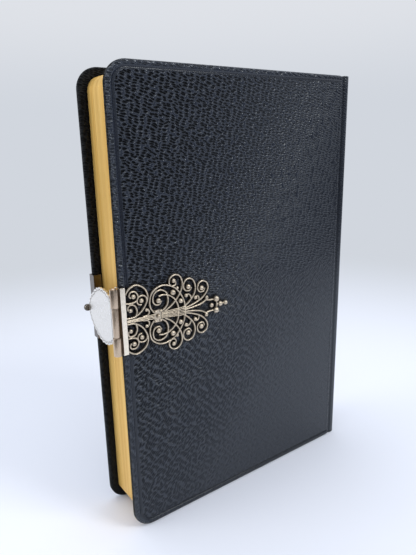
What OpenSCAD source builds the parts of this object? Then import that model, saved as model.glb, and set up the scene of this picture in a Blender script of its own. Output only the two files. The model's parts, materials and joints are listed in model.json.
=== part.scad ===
// Antique leather prayer book with a silver filigree clasp, standing on its tail edge.
// x runs from the covers' fore-edge to the spine, y from the clasp cover to the catch cover, z up.

/* [Covers] */
// Height of the covers, from tail to head
cover_h = 165; // [120:1:220]
// Width of a cover with its spine shoulder
cover_w = 110; // [80:1:150]
// Thickness of the closed book over both covers
book_t = 23; // [18:0.5:40]
// Thickness of the pasteboard in a cover
board_t = 1.5; // [1:0.1:2.5]
// Thickness of the leather
leather_t = 0.7; // [0.5:0.05:1]
// Thickness of the pared leather that is turned in over the board's inner face
turn_in_t = 0.4; // [0.3:0.05:0.6]
// Width of the leather that is turned in over the board's inner face
turn_in_w = 9; // [6:0.5:14]
// Radius of a cover's two corners at the fore-edge
fore_corner_r = 7.5; // [4:0.5:12]
// Radius of a cover's two corners beside the spine
spine_corner_r = 1.5; // [1.3:0.1:3]
// Radius of the leather where it turns round a cover's edges
edge_r = 0.9; // [0.5:0.1:1.2]

/* [Tooled line] */
// Distance from the cover's edge to the tooled line
line_inset = 2; // [1.4:0.1:6]
// Width of the tooled line
line_w = 0.5; // [0.3:0.1:1]
// Depth of the tooled line
line_depth = 0.25; // [0.1:0.05:0.4]

/* [Pages] */
// Width by which the covers overhang the pages at head, tail and fore-edge
square_w = 3; // [2.8:0.1:5]
// Radius of the pages' two corners at the fore-edge
page_corner_r = 5; // [2:0.5:10]
// Gap between the pages and each cover
page_gap = 0.15; // [0.1:0.05:0.5]

/* [Spine] */
// Width of the shoulder between the joint and the back of the spine
shoulder_w = 3; // [2.6:0.1:5]
// Radius of the shoulder's outer edge
shoulder_r = 2; // [1.9:0.1:2.5]
// Depth of the shoulder below the face of the cover
shoulder_drop = 0.3; // [0.2:0.1:1]
// Width of the flexible joint between a cover and its shoulder
joint_w = 1.2; // [0.9:0.1:2.5]
// Height of the rounded back over a straight line
spine_rise = 2; // [1:0.25:4]
// Thickness of the paper that lines the spine
lining_t = 0.5; // [0.2:0.1:0.8]
// Diameter of the sewn headbands
headband_d = 1.8; // [1.2:0.1:2.4]

/* [Clasp hinge] */
// Height of the clasp's middle over the middle of the covers
clasp_rise = 0.7; // [-20:0.1:20]
// Length of the hinge barrel and of the leaf that holds it
hinge_l = 23.4; // [18:0.2:30]
// Length of the middle knuckle
middle_knuckle_l = 10.2; // [6:0.2:14]
// Diameter of the two end knuckles
end_knuckle_d = 2.8; // [2.4:0.1:3.6]
// Diameter of the middle knuckle
middle_knuckle_d = 2.3; // [1.9:0.1:2.8]
// Gap between the barrel and the metal on the cover's edge
barrel_gap = 0.2; // [0.15:0.05:1]
// Diameter of the hinge pin
pin_d = 1.1; // [0.8:0.1:1.3]
// Thickness of the leaf on the cover's face
leaf_t = 0.8; // [0.5:0.1:1]
// Width of the leaf on the cover's face
leaf_w = 1.4; // [1.2:0.1:3]
// Thickness of the silver that wraps a cover's edge, on the edge and inside
wrap_t = 0.4; // [0.3:0.05:0.5]
// Width of the silver that is turned in over a cover's inner face
wrap_w = 2.6; // [2.2:0.1:2.7]

/* [Hasp] */
// Thickness of the hasp plate
hasp_t = 0.8; // [0.6:0.1:1]
// Radius of the round part of the hasp, to the tips of its scallops
hasp_r = 10.2; // [8:0.2:12]
// Radius of the hasp's rounded nose, to the tips of its scallops
nose_r = 7.6; // [5:0.2:8]
// Radius of one scallop on the rim
scallop_r = 1.3; // [0.8:0.1:1.6]
// Distance from the catch cover's outer face back to the tip of the hasp
nose_setback = 1.4; // [1.2:0.1:3]
// Height of the lip inside the hasp's tip
lip_h = 0.35; // [0.2:0.05:0.45]
// Diameter of the ball that the hasp is lifted by
knob_d = 2.6; // [2:0.1:2.8]

/* [Catch] */
// Height of the catch plate along the fore-edge
catch_h = 24; // [16:0.5:36]
// Thickness of the catch plate on the catch cover's outer face
catch_t = 0.5; // [0.4:0.05:0.8]
// Width of the catch plate on the catch cover's outer face
catch_w = 4.5; // [4:0.5:10]
// Radius of the catch bar that the hasp's lip drops behind
catch_bar_r = 0.45; // [0.35:0.05:0.5]
// Length of the catch bar
catch_bar_l = 9; // [6:0.5:14]

/* [Filigree] */
// Angle in degrees by which the mount droops towards its tip
mount_angle = 2.4; // [0:0.1:3]
// Length of the filigree mount from the cover's fore-edge
mount_l = 43.7; // [36:0.1:50]
// Width of the flat wire, seen from the front
wire_w = 0.55; // [0.4:0.05:0.7]
// Height of the flat wire over the leather
wire_h = 0.95; // [0.6:0.05:1.4]
// Height of the rosette over the leather
rosette_h = 1.3; // [1:0.1:2]

/* [Nails] */
// Diameter of a nail's shank
nail_d = 0.8; // [0.6:0.1:1]
// Diameter of a nail's head
nail_head_d = 1.5; // [1.2:0.1:1.8]
// Height of a nail's domed head
nail_head_h = 0.35; // [0.2:0.05:0.5]

/* [Hidden] */

$fn = 48;
small = 0.01;
running_gap = 0.05;
seat_gap = 0.02;
cover_t = leather_t + board_t + turn_in_t;
mid_z = cover_h / 2;
mid_y = book_t / 2;
clasp_z = mid_z + clasp_rise;

// The spine's plan, a rounded back that ends in two shoulders
shoulder_x = cover_w - shoulder_w;
cover_end = shoulder_x - joint_w;
half_back = mid_y - shoulder_drop;
back_r = (half_back * half_back + spine_rise * spine_rise) / (2 * spine_rise);
back_x = cover_w + spine_rise - back_r;
turn_y = shoulder_drop + shoulder_r;
turn_x = back_x + sqrt(pow(back_r - shoulder_r, 2) - pow(mid_y - turn_y, 2));
turn_a = atan2(turn_y - mid_y, turn_x - back_x);
shoulder_steps = 6;
back_steps = 12;
page_y = cover_t + page_gap;

// The turned-in leather stops short of the rounded edge at the joint
window_gap = 0.3;
window_corner_r = 0.6;
line_min_r = 0.5;

// The hinge barrel stands off the fore-edge, with its front level with the leaf
barrel_x = -wrap_t - barrel_gap - end_knuckle_d / 2;
barrel_y = end_knuckle_d / 2 - leaf_t;
knuckle_gap = 0.15;
// The web that carries an end knuckle lies behind the barrel's front, so a groove shows beside the leaf
web_t = 0.8;
end_knuckle_l = (hinge_l - middle_knuckle_l) / 2 - knuckle_gap;
pin_head_h = 0.3;
pin_head_lip = 0.35;
pin_head_d = pin_d + 2 * pin_head_lip;

// The hasp, in the plane of the barrel's axis
tip_y = book_t - nose_setback;
nose_y = tip_y - nose_r;
round_to_nose = 4.4;
round_y = nose_y - round_to_nose;
rim_dip = 0.45;
border_inset = 0.6;
border_w = 0.25;
border_depth = 0.15;
// The scallops of the round part above the axis, and those of the nose
round_scallop_angles = [54, 148];
round_scallop_count = 8;
nose_scallop_angles = [-66, 66];
nose_scallop_count = 9;
hasp_knuckle_gap = 0.3;
hasp_start_y = barrel_y + end_knuckle_d / 2 + hasp_knuckle_gap;
lip_t = 0.5;
lip_l = 3;
lip_clearance = 0.15;
tongue_w = 1.8;
tongue_l = 0.2;
knob_overhang = 0.9;
knob_proud = 0.6;
knob_y = tip_y + knob_overhang;
knob_x = barrel_x - knob_proud;
bar_y = tip_y - lip_t - lip_clearance - catch_bar_r;

// The nails
leaf_nail_x = wrap_w / 2;
leaf_nail_pitch = hinge_l / 3;
catch_nail_x = catch_w / 2;
catch_nail_pitch = catch_h / 3;
nail_bite = 0.7;
nail_l = leather_t + board_t * nail_bite;

// The filigree is drawn at this length, with x from the fore-edge and y up from its axis
drawn_l = 43.7;
k = mount_l / drawn_l;
wire_steps = 4;
rosette_x = [11.8, 14.8];
rosette_half_w = 2.2;
bead_d = 1;
stem_half_w = [0.95, 1];
fan_half_w = [1.3, 1.6];
fan_end = 24.9;
rib_w = 0.3;
stem_wire_count = 4;
fan_wire_count = 6;
bundle_fill = 0.7;
grain_rise = 0.7;
tip_wire_x = [38.4, 42.8];
// Where each mount pin stands, and the diameter of its ball
tip_pin_x = 36.3;
pin_ball_d = [1.3, 1.7];
PINS = [[(rosette_x[0] + rosette_x[1]) / 2, 0, pin_ball_d[0]], [tip_pin_x, 0, pin_ball_d[1]]];
// The bent wires and the grains of the upper half, which the lower half mirrors
LOBE_WIRES = [
    [[0.6, 1.0], [4.4, 1.2], [7.3, 3.1], [9.0, 5.9], [9.3, 8.3], [8.0, 10.7], [5.0, 12.1],
        [2.4, 11.1], [0.8, 9.0]],
    [[0.6, 6.3], [3.2, 6.1], [5.2, 6.8], [5.6, 8.5], [4.6, 9.9], [3.0, 9.9], [2.4, 8.8], [3.0, 7.9]],
    [[9.1, 6.0], [8.8, 7.4], [7.6, 8.2], [6.0, 7.9], [5.3, 6.6], [5.8, 5.4], [6.9, 5.1]],
    [[4.7, 1.0], [5.2, 3.2], [4.5, 5.0], [3.0, 5.6], [1.9, 4.9], [1.9, 3.6]],
    [[7.4, 0.7], [9.2, 0.9], [9.9, 2.0], [9.3, 3.2]],
];
LOOP_WIRES = [
    [[11.7, 1.5], [10.4, 3.4], [10.1, 5.8], [10.9, 8.3], [13.0, 10.0], [15.6, 10.6], [18.6, 9.9],
        [21.2, 8.2], [23.2, 5.5], [24.3, 2.7], [24.6, -0.3]],
    [[13.6, 6.9], [15.5, 7.2], [18.0, 6.6], [20.2, 4.9], [21.5, 2.4], [21.8, -0.3]],
    [[14.7, 1.3], [16.8, 3.0], [17.4, 5.4], [16.6, 8.0], [14.2, 9.1], [11.9, 8.1], [11.3, 6.0],
        [12.1, 4.3], [13.8, 4.0], [14.7, 5.2]],
    [[16.0, 1.3], [18.6, 2.7], [21.0, 5.0], [22.8, 7.8], [23.3, 10.6], [22.3, 12.9], [20.3, 13.7],
        [18.4, 12.8], [17.9, 11.0], [18.9, 9.8], [20.4, 10.1], [20.5, 11.4]],
];
LEAF_WIRES = [
    [[23.6, 1.2], [26.2, 3.0], [28.4, 5.6], [28.9, 8.3], [27.9, 10.8], [26.0, 11.6], [24.3, 10.7],
        [23.8, 8.9], [24.7, 7.4], [26.4, 7.2], [27.2, 8.3]],
    [[24.2, 0.8], [28.6, 2.0], [32.4, 3.9], [34.4, 6.5], [34.1, 8.8], [32.2, 9.9], [30.4, 9.1],
        [29.9, 7.3], [30.9, 6.0], [32.5, 6.0], [33.0, 7.2]],
    [[24.2, 0.3], [28.6, 0.8], [31.6, 1.4], [33.5, 2.4], [34.3, 3.5]],
    [[27.3, 4.0], [26.6, 5.4], [25.4, 6.1]],
    [[30.6, 2.9], [30.3, 4.3], [29.3, 4.8]],
    [[33.4, 2.6], [35.2, 2.2], [37.4, 2.0], [38.5, 1.3], [38.9, -0.3]],
];
GRAINS = [[3.9, 8.3, 1.7], [6.9, 6.5, 1.7], [2.8, 3.6, 1.5], [8.9, 2.9, 1.3], [13.5, 5.4, 1.9],
    [19.3, 7.5, 2.0], [22.6, 3.9, 1.8], [21.3, 8.8, 1.2], [19.7, 11.6, 1.6], [25.8, 8.6, 1.9],
    [25.0, 5.5, 1.5], [31.6, 7.3, 1.9], [29.0, 4.1, 1.5], [34.0, 3.3, 1.5], [38.3, 2.2, 2.3]];
END_GRAINS = [[40.2, 0, 2.0], [42.8, 0, 1.8]];

function arc(centre, r, from, to, n) = [for (i = [0 : n])
    let (a = from + (to - from) * i / n) centre + r * [cos(a), sin(a)]];

function flipped(p) = [for (i = [len(p) - 1 : -1 : 0]) p[i]];

// A rectangle with its own corner radius at the low x side and at the high x side
function plate(x0, x1, z0, z1, r0, r1, n = 8) = concat(
    arc([x0 + r0, z0 + r0], r0, 180, 270, n),
    arc([x1 - r1, z0 + r1], r1, 270, 360, n),
    arc([x1 - r1, z1 - r1], r1, 0, 90, n),
    arc([x0 + r0, z1 - r0], r0, 90, 180, n));

// A cover's outline, drawn in from its edge by the given amount
function cover_plate(in) = plate(in, cover_end - in, in, cover_h - in,
    fore_corner_r - in, spine_corner_r - in);

// The plan of the spine at a depth below its outer surface, from one shoulder round to the other
function spine_plan(depth) = let (half = concat(
        arc([turn_x, turn_y], shoulder_r - depth, -90, turn_a, shoulder_steps),
        arc([back_x, mid_y], back_r - depth, turn_a * (1 - 1 / back_steps), 0, back_steps - 1)))
    concat(half, [for (i = [len(half) - 2 : -1 : 0]) [half[i][0], book_t - half[i][1]]]);

module rise(z0, z1) {
    translate([0, 0, z0]) linear_extrude(z1 - z0) children();
}

// Extrudes an x-z outline through the cover's thickness
module through(y0, y1) {
    translate([0, y1, 0]) rotate([90, 0, 0]) linear_extrude(y1 - y0) children();
}

module on_catch_side() {
    translate([0, book_t, 0]) mirror([0, 1, 0]) children();
}

// Lays a drawing of the filigree on the clasp cover's face
module on_face() {
    translate([0, 0, clasp_z]) rotate([90, 0, 0]) children();
}

module drooping() {
    rotate([0, 0, -mount_angle]) children();
}

module both_halves() {
    for (half = [0, 1]) mirror([0, half, 0]) children();
}

module along_y(x, z, y0, y1, d) {
    translate([x, y1, z]) rotate([90, 0, 0]) cylinder(d = d, h = y1 - y0);
}

// Pages

module text_block() {
    neck_x = shoulder_x + leather_t;
    color("goldenrod") intersection() {
        rise(square_w, cover_h - square_w) union() {
            translate([square_w, page_y]) square([neck_x + small - square_w, book_t - 2 * page_y]);
            polygon(concat([[neck_x, turn_y - shoulder_r + leather_t + lining_t]],
                spine_plan(leather_t + lining_t),
                [[neck_x, book_t - turn_y + shoulder_r - leather_t - lining_t]]));
        }
        through(-1, book_t + 1)
            polygon(plate(square_w, cover_w + 2 * spine_rise, square_w, cover_h - square_w,
                page_corner_r, small));
    }
}

module spine_lining() {
    x = shoulder_x + leather_t;
    outer = shoulder_drop + leather_t;
    color("tan") rise(square_w, cover_h - square_w) difference() {
        polygon(concat([[x, outer]], spine_plan(leather_t), [[x, book_t - outer]]));
        polygon(concat([[x - 1, outer + lining_t]], spine_plan(leather_t + lining_t),
            [[x - 1, book_t - outer - lining_t]]));
    }
}

// A cord on the pages' end, close under the leather of the spine
module headband(z) {
    path_r = back_r - leather_t - running_gap - headband_d / 2;
    spread = asin((mid_y - page_y) / path_r);
    color("ivory") translate([back_x, mid_y, z]) rotate([0, 0, -spread])
        rotate_extrude(angle = 2 * spread) translate([path_r, 0]) circle(d = headband_d);
}

module headband_head() {
    headband(cover_h - square_w + headband_d / 2);
}

module headband_tail() {
    headband(square_w - headband_d / 2);
}

// Wraps the back and both shoulders, and turns in beside each joint
module spine_leather() {
    inner_x = shoulder_x + leather_t;
    inner_y = shoulder_drop + leather_t;
    color("#2b2c33") rise(0, cover_h) difference() {
        polygon(concat([[shoulder_x, shoulder_drop]], spine_plan(0),
            [[shoulder_x, book_t - shoulder_drop]]));
        polygon(concat([[inner_x, inner_y]], spine_plan(leather_t), [[inner_x, book_t - inner_y]]));
        translate([shoulder_x - 1, page_y]) square([1 + 2 * leather_t, book_t - 2 * page_y]);
    }
}

// Covers

// A slab whose edges are rounded all the way round, on both faces
module rounded_slab() {
    turn = min(edge_r, cover_t / 2 - 0.1);
    steps = 4;
    levels = concat(
        [for (i = [0 : steps]) let (a = 90 * i / steps) [turn * (1 - sin(a)), turn * (1 - cos(a))]],
        [for (i = [steps : -1 : 0]) let (a = 90 * i / steps)
            [turn * (1 - sin(a)), cover_t - turn * (1 - cos(a))]]);
    rings = [for (l = levels) [for (p = cover_plate(l[0])) [p[0], l[1], p[1]]]];
    n = len(rings[0]);
    top = len(rings) - 1;
    polyhedron(points = [for (r = rings, p = r) p],
        faces = concat([[for (i = [0 : n - 1]) i]], [[for (i = [n - 1 : -1 : 0]) top * n + i]],
            [for (j = [0 : top - 1], i = [0 : n - 1])
                [j * n + i, (j + 1) * n + i, (j + 1) * n + (i + 1) % n, j * n + (i + 1) % n]]));
}

// The clear part of the board's inner face, where the pastedown lies
function window(gap) = plate(turn_in_w + gap, cover_end - edge_r - window_gap - gap,
    turn_in_w + gap, cover_h - turn_in_w - gap, window_corner_r, window_corner_r, 3);

module tooled_line() {
    through(-1, line_depth) difference() {
        polygon(plate(line_inset, cover_w, line_inset, cover_h - line_inset,
            max(fore_corner_r - line_inset, line_min_r + line_w), small));
        polygon(plate(line_inset + line_w, cover_w + 1, line_inset + line_w,
            cover_h - line_inset - line_w,
            max(fore_corner_r - line_inset - line_w, line_min_r), small));
    }
}

module cover_leather() {
    color("#2b2c33") difference() {
        rounded_slab();
        through(leather_t, leather_t + board_t) polygon(cover_plate(leather_t));
        through(leather_t + board_t - small, cover_t + 1) polygon(window(0));
        tooled_line();
    }
}

module board() {
    color("#8a7350") through(leather_t, leather_t + board_t) polygon(cover_plate(leather_t));
}

module pastedown() {
    color("wheat") through(leather_t + board_t, cover_t) polygon(window(seat_gap));
}

// Holes for the pins that hold the filigree, through leather and board
module mount_holes(depth) {
    on_face() drooping() for (p = PINS) translate([p[0] * k, 0, -depth])
        cylinder(d = nail_d + 2 * seat_gap, h = depth + 1);
}

module leaf_nail_holes() {
    for (s = [-1, 1]) along_y(leaf_nail_x, clasp_z + s * leaf_nail_pitch, cover_t - nail_l,
        cover_t + 1, nail_d + 2 * seat_gap);
}

module catch_nail_holes() {
    for (s = [-1 : 1]) along_y(catch_nail_x, clasp_z + s * catch_nail_pitch, -1, nail_l,
        nail_d + 2 * seat_gap);
}

module clasp_board() {
    color("#8a7350") difference() {
        board();
        mount_holes(nail_l);
        leaf_nail_holes();
    }
}

module clasp_cover_leather() {
    color("#2b2c33") difference() {
        cover_leather();
        mount_holes(nail_l);
        leaf_nail_holes();
    }
}

module clasp_pastedown() {
    pastedown();
}

module catch_board() {
    color("#8a7350") on_catch_side() difference() {
        board();
        catch_nail_holes();
    }
}

module catch_cover_leather() {
    color("#2b2c33") on_catch_side() difference() {
        cover_leather();
        catch_nail_holes();
    }
}

module catch_pastedown() {
    on_catch_side() pastedown();
}

// Clasp hinge

module barrel(z0, z1, d) {
    translate([barrel_x, barrel_y, clasp_z]) translate([0, 0, z0]) cylinder(d = d, h = z1 - z0);
}

// A channel round the cover's fore-edge that carries the two end knuckles
module hinge_leaf() {
    half = hinge_l / 2;
    inner_end = middle_knuckle_l / 2 + knuckle_gap;
    color("silver") difference() {
        union() {
            translate([-wrap_t, -leaf_t, clasp_z - half]) cube([wrap_t + leaf_w, leaf_t, hinge_l]);
            translate([-wrap_t, -leaf_t, clasp_z - half])
                cube([wrap_t, leaf_t + cover_t + wrap_t, hinge_l]);
            translate([-wrap_t, cover_t, clasp_z - half]) cube([wrap_t + wrap_w, wrap_t, hinge_l]);
            for (s = [0, 1]) translate([0, 0, clasp_z]) mirror([0, 0, s]) {
                translate([barrel_x, barrel_y - web_t / 2, inner_end])
                    cube([-barrel_x - wrap_t / 2, web_t, end_knuckle_l]);
                translate([barrel_x, barrel_y, inner_end])
                    cylinder(d = end_knuckle_d, h = end_knuckle_l);
            }
        }
        barrel(-half - 1, half + 1, pin_d + 2 * seat_gap);
        leaf_nail_holes();
    }
}

module hinge_pin() {
    half = hinge_l / 2;
    color("silver") {
        barrel(-half, half, pin_d);
        for (s = [0, 1]) translate([barrel_x, barrel_y, clasp_z]) mirror([0, 0, s])
            translate([0, 0, half]) cylinder(d1 = pin_head_d, d2 = pin_d, h = pin_head_h);
    }
}

// A nail with a domed head, pointing along -z from the underside of its head
module nail(l) {
    dome_r = (nail_head_d * nail_head_d / 4 + nail_head_h * nail_head_h) / (2 * nail_head_h);
    rotate_extrude() {
        translate([0, -l]) square([nail_d / 2, l + small]);
        intersection() {
            translate([0, nail_head_h - dome_r]) circle(dome_r);
            square([nail_head_d, nail_head_h]);
        }
    }
}

module leaf_nails() {
    color("silver") for (s = [-1, 1])
        translate([leaf_nail_x, cover_t + wrap_t, clasp_z + s * leaf_nail_pitch])
            rotate([-90, 0, 0]) nail(wrap_t + nail_l);
}

// Hasp

// Discs set round an arc so that their outer edges make a scalloped rim, drawn in by the given amount
module scallops(y, r, angles, count, in) {
    for (i = [0 : count - 1]) let (a = angles[0] + (angles[1] - angles[0]) * i / (count - 1))
        translate([y + (r - scallop_r) * cos(a), (r - scallop_r) * sin(a)]) circle(scallop_r - in);
}

// The hasp's outline, with x along the book's thickness and y up
module hasp_outline(in = 0) {
    intersection() {
        union() {
            translate([round_y, 0]) circle(hasp_r - rim_dip - in);
            translate([nose_y, 0]) circle(nose_r - rim_dip - in);
            for (s = [-1, 1]) scale([1, s])
                scallops(round_y, hasp_r, round_scallop_angles, round_scallop_count, in);
            scallops(nose_y, nose_r, nose_scallop_angles, nose_scallop_count, in);
        }
        translate([hasp_start_y + in, -hasp_r]) square([book_t, 2 * hasp_r]);
    }
}

module hasp_plate() {
    neck_w = middle_knuckle_l - 2 * knuckle_gap;
    color("silver") difference() {
        union() {
            translate([barrel_x - hasp_t / 2, 0, clasp_z]) rotate([90, 0, 90]) linear_extrude(hasp_t)
                hasp_outline();
            translate([barrel_x - hasp_t / 2, barrel_y, clasp_z - neck_w / 2])
                cube([hasp_t, round_y - barrel_y, neck_w]);
            barrel(-middle_knuckle_l / 2, middle_knuckle_l / 2, middle_knuckle_d);
            translate([barrel_x - hasp_t / 2, tip_y - lip_t, clasp_z - lip_l / 2])
                cube([hasp_t + lip_h, lip_t, lip_l]);
            translate([barrel_x - hasp_t / 2, tip_y - lip_t, clasp_z - tongue_w / 2])
                cube([hasp_t, lip_t + tongue_l, tongue_w]);
        }
        barrel(-middle_knuckle_l, middle_knuckle_l, pin_d + 2 * running_gap);
        hasp_border();
    }
}

// A fine line engraved along the scalloped rim
module hasp_border() {
    translate([barrel_x - hasp_t / 2 - 1, 0, clasp_z]) rotate([90, 0, 90])
        linear_extrude(1 + border_depth) difference() {
            hasp_outline(border_inset);
            hasp_outline(border_inset + border_w);
        }
}

// A ball that is cut flat at the given depth under its centre
module flat_ball(r, depth) {
    difference() {
        sphere(r);
        translate([-r, -r, -depth - r]) cube([2 * r, 2 * r, r]);
    }
}

// A ball soldered to the end of the tongue at the hasp's tip
module hasp_knob() {
    color("silver") translate([knob_x, knob_y, clasp_z]) rotate([-90, 0, 0])
        flat_ball(knob_d / 2, knob_overhang - tongue_l);
}

// Catch

// Wraps the catch cover's fore-edge, with a wider leg on its outer face
module catch_plate() {
    color("silver") on_catch_side() difference() {
        translate([0, 0, clasp_z - catch_h / 2]) {
            translate([-wrap_t, -catch_t, 0]) cube([wrap_t + catch_w, catch_t, catch_h]);
            translate([-wrap_t, -catch_t, 0]) cube([wrap_t, catch_t + cover_t + wrap_t, catch_h]);
            translate([-wrap_t, cover_t, 0]) cube([wrap_t + wrap_w, wrap_t, catch_h]);
        }
        translate([0, -catch_t, 0]) catch_nail_holes();
    }
}

module catch_bar() {
    color("silver") translate([-wrap_t, bar_y, clasp_z - catch_bar_l / 2]) difference() {
        cylinder(r = catch_bar_r, h = catch_bar_l);
        translate([0, -1, -1]) cube([2, 2, catch_bar_l + 2]);
    }
}

module catch_nails() {
    color("silver") on_catch_side() for (s = [-1 : 1])
        translate([catch_nail_x, -catch_t, clasp_z + s * catch_nail_pitch])
            rotate([90, 0, 0]) nail(catch_t + nail_l);
}

// Filigree

function knot(p, i) = i < 0 ? 2 * p[0] - p[1]
    : i >= len(p) ? 2 * p[len(p) - 1] - p[len(p) - 2] : p[i];

// A smooth curve from b to c, with a and d as the points before and after
function between(a, b, c, d, t) = (2 * b + (c - a) * t + (2 * a - 5 * b + 4 * c - d) * t * t
    + (3 * b - a - 3 * c + d) * t * t * t) / 2;

function curve(p) = concat([for (i = [0 : len(p) - 2], s = [0 : wire_steps - 1])
    between(knot(p, i - 1), knot(p, i), knot(p, i + 1), knot(p, i + 2), s / wire_steps)],
    [p[len(p) - 1]]);

function heading(c, i) = let (d = c[min(i + 1, len(c) - 1)] - c[max(i - 1, 0)]) d / norm(d);

function beside(c, w) = [for (i = [0 : len(c) - 1]) let (t = heading(c, i)) c[i] + w * [-t[1], t[0]]];

// A flat wire set on edge, bent along the curve through its points
module wire(points) {
    c = curve(k * points);
    linear_extrude(wire_h) polygon(concat(beside(c, wire_w / 2), flipped(beside(c, -wire_w / 2))));
}

// Keeps the wires clear of the leaf, which they are soldered against
module beyond_leaf() {
    difference() {
        children();
        translate([-1, -hinge_l, -1]) cube([1 + leaf_w, 2 * hinge_l, wire_h + 2]);
    }
}

module filigree_lobes() {
    color("silver") on_face() beyond_leaf() drooping() both_halves() for (w = LOBE_WIRES) wire(w);
}

module filigree_loops() {
    color("silver") on_face() drooping() both_halves() for (w = LOOP_WIRES) wire(w);
}

module filigree_leaves() {
    color("silver") on_face() drooping() {
        both_halves() for (w = LEAF_WIRES) wire(w);
        wire([[tip_wire_x[0], 0], [tip_wire_x[1], 0]]);
    }
}

// A tapered bar with raised wires along it, as a bundle of parallel wires
module bundle(x0, x1, half_w, wires) {
    linear_extrude(wire_h * bundle_fill)
        polygon([[x0, -half_w[0]], [x1, -half_w[1]], [x1, half_w[1]], [x0, half_w[0]]]);
    for (i = [0 : wires - 1]) {
        v = (2 * i / (wires - 1) - 1) * [half_w[0] - rib_w, half_w[1] - rib_w];
        linear_extrude(wire_h) polygon([[x0, v[0] - rib_w / 2], [x1, v[1] - rib_w / 2],
            [x1, v[1] + rib_w / 2], [x0, v[0] + rib_w / 2]]);
    }
}

module filigree_stem() {
    color("silver") on_face() {
        beyond_leaf() drooping() bundle(leaf_w / 2, rosette_x[0] * k, stem_half_w * k, stem_wire_count);
        drooping() bundle(rosette_x[1] * k, fan_end * k, fan_half_w * k, fan_wire_count);
    }
}

// The collar that grips the bundle, with a bead on each corner
module filigree_rosette() {
    l = (rosette_x[1] - rosette_x[0]) * k;
    w = rosette_half_w * k;
    color("silver") on_face() drooping() difference() {
        translate([rosette_x[0] * k, 0, 0]) {
            translate([0, -w, 0]) cube([l, 2 * w, rosette_h - bead_d / 2]);
            for (x = [bead_d / 2, l - bead_d / 2], y = [bead_d / 2 - w, w - bead_d / 2])
                translate([x, y, rosette_h - bead_d / 2]) sphere(d = bead_d);
        }
        translate([PINS[0][0] * k, 0, -1]) cylinder(d = nail_d + 2 * seat_gap, h = rosette_h + 2);
    }
}

// A ball flattened where it rests, at the place and with the diameter that g gives
module grain(g, rest_h = 0) {
    r = g[2] * k / 2;
    translate([g[0] * k, g[1] * k, rest_h + r * grain_rise]) flat_ball(r, r * grain_rise);
}

module filigree_grains() {
    color("silver") on_face() drooping() {
        both_halves() for (g = GRAINS) grain(g);
        for (g = END_GRAINS) grain(g);
    }
}

// Two pins with ball heads, through the rosette and through the tip, into the board
module mount_pins() {
    rest_h = [rosette_h - bead_d / 2, 0];
    color("silver") on_face() drooping() for (i = [0, 1]) {
        grain(PINS[i], rest_h[i]);
        translate([PINS[i][0] * k, 0, -nail_l]) cylinder(d = nail_d, h = nail_l + rest_h[i] + nail_d / 2);
    }
}

// Puts the origin on the base, under the middle of the whole book with its clasp
low_x = min(barrel_x - end_knuckle_d / 2, knob_x - knob_d / 2);
high_x = cover_w + spine_rise;
low_y = -max([for (g = concat(GRAINS, END_GRAINS)) (1 + grain_rise) / 2 * g[2] * k]);
high_y = book_t + catch_t + nail_head_h;
module part() {
    translate([-(low_x + high_x) / 2, -(low_y + high_y) / 2, 0]) children();
}

part() text_block();
part() spine_lining();
part() headband_head();
part() headband_tail();
part() spine_leather();
part() clasp_board();
part() clasp_cover_leather();
part() clasp_pastedown();
part() catch_board();
part() catch_cover_leather();
part() catch_pastedown();
part() hinge_leaf();
part() hinge_pin();
part() leaf_nails();
part() hasp_plate();
part() hasp_knob();
part() catch_plate();
part() catch_bar();
part() catch_nails();
part() filigree_lobes();
part() filigree_loops();
part() filigree_leaves();
part() filigree_stem();
part() filigree_rosette();
part() filigree_grains();
part() mount_pins();
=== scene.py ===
# %% [markdown]
# # A leather prayer book with a silver filigree clasp
#
# The book stands on its tail edge. Two boards are covered with black morocco, a goatskin with a pebbled
# grain. The pages' edges are gilt, and a silver clasp holds the covers shut at the fore-edge.
#
# The exact solids of every piece come from a construction model. They are loaded first and never moved.
# This script gives them their finish, and builds finer meshes where the look needs more than a plain solid:
# leather with rounded edges, wires that are round and milled, and page edges that can be told apart.

# %% Load the construction model
import json
import math
import random

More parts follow.
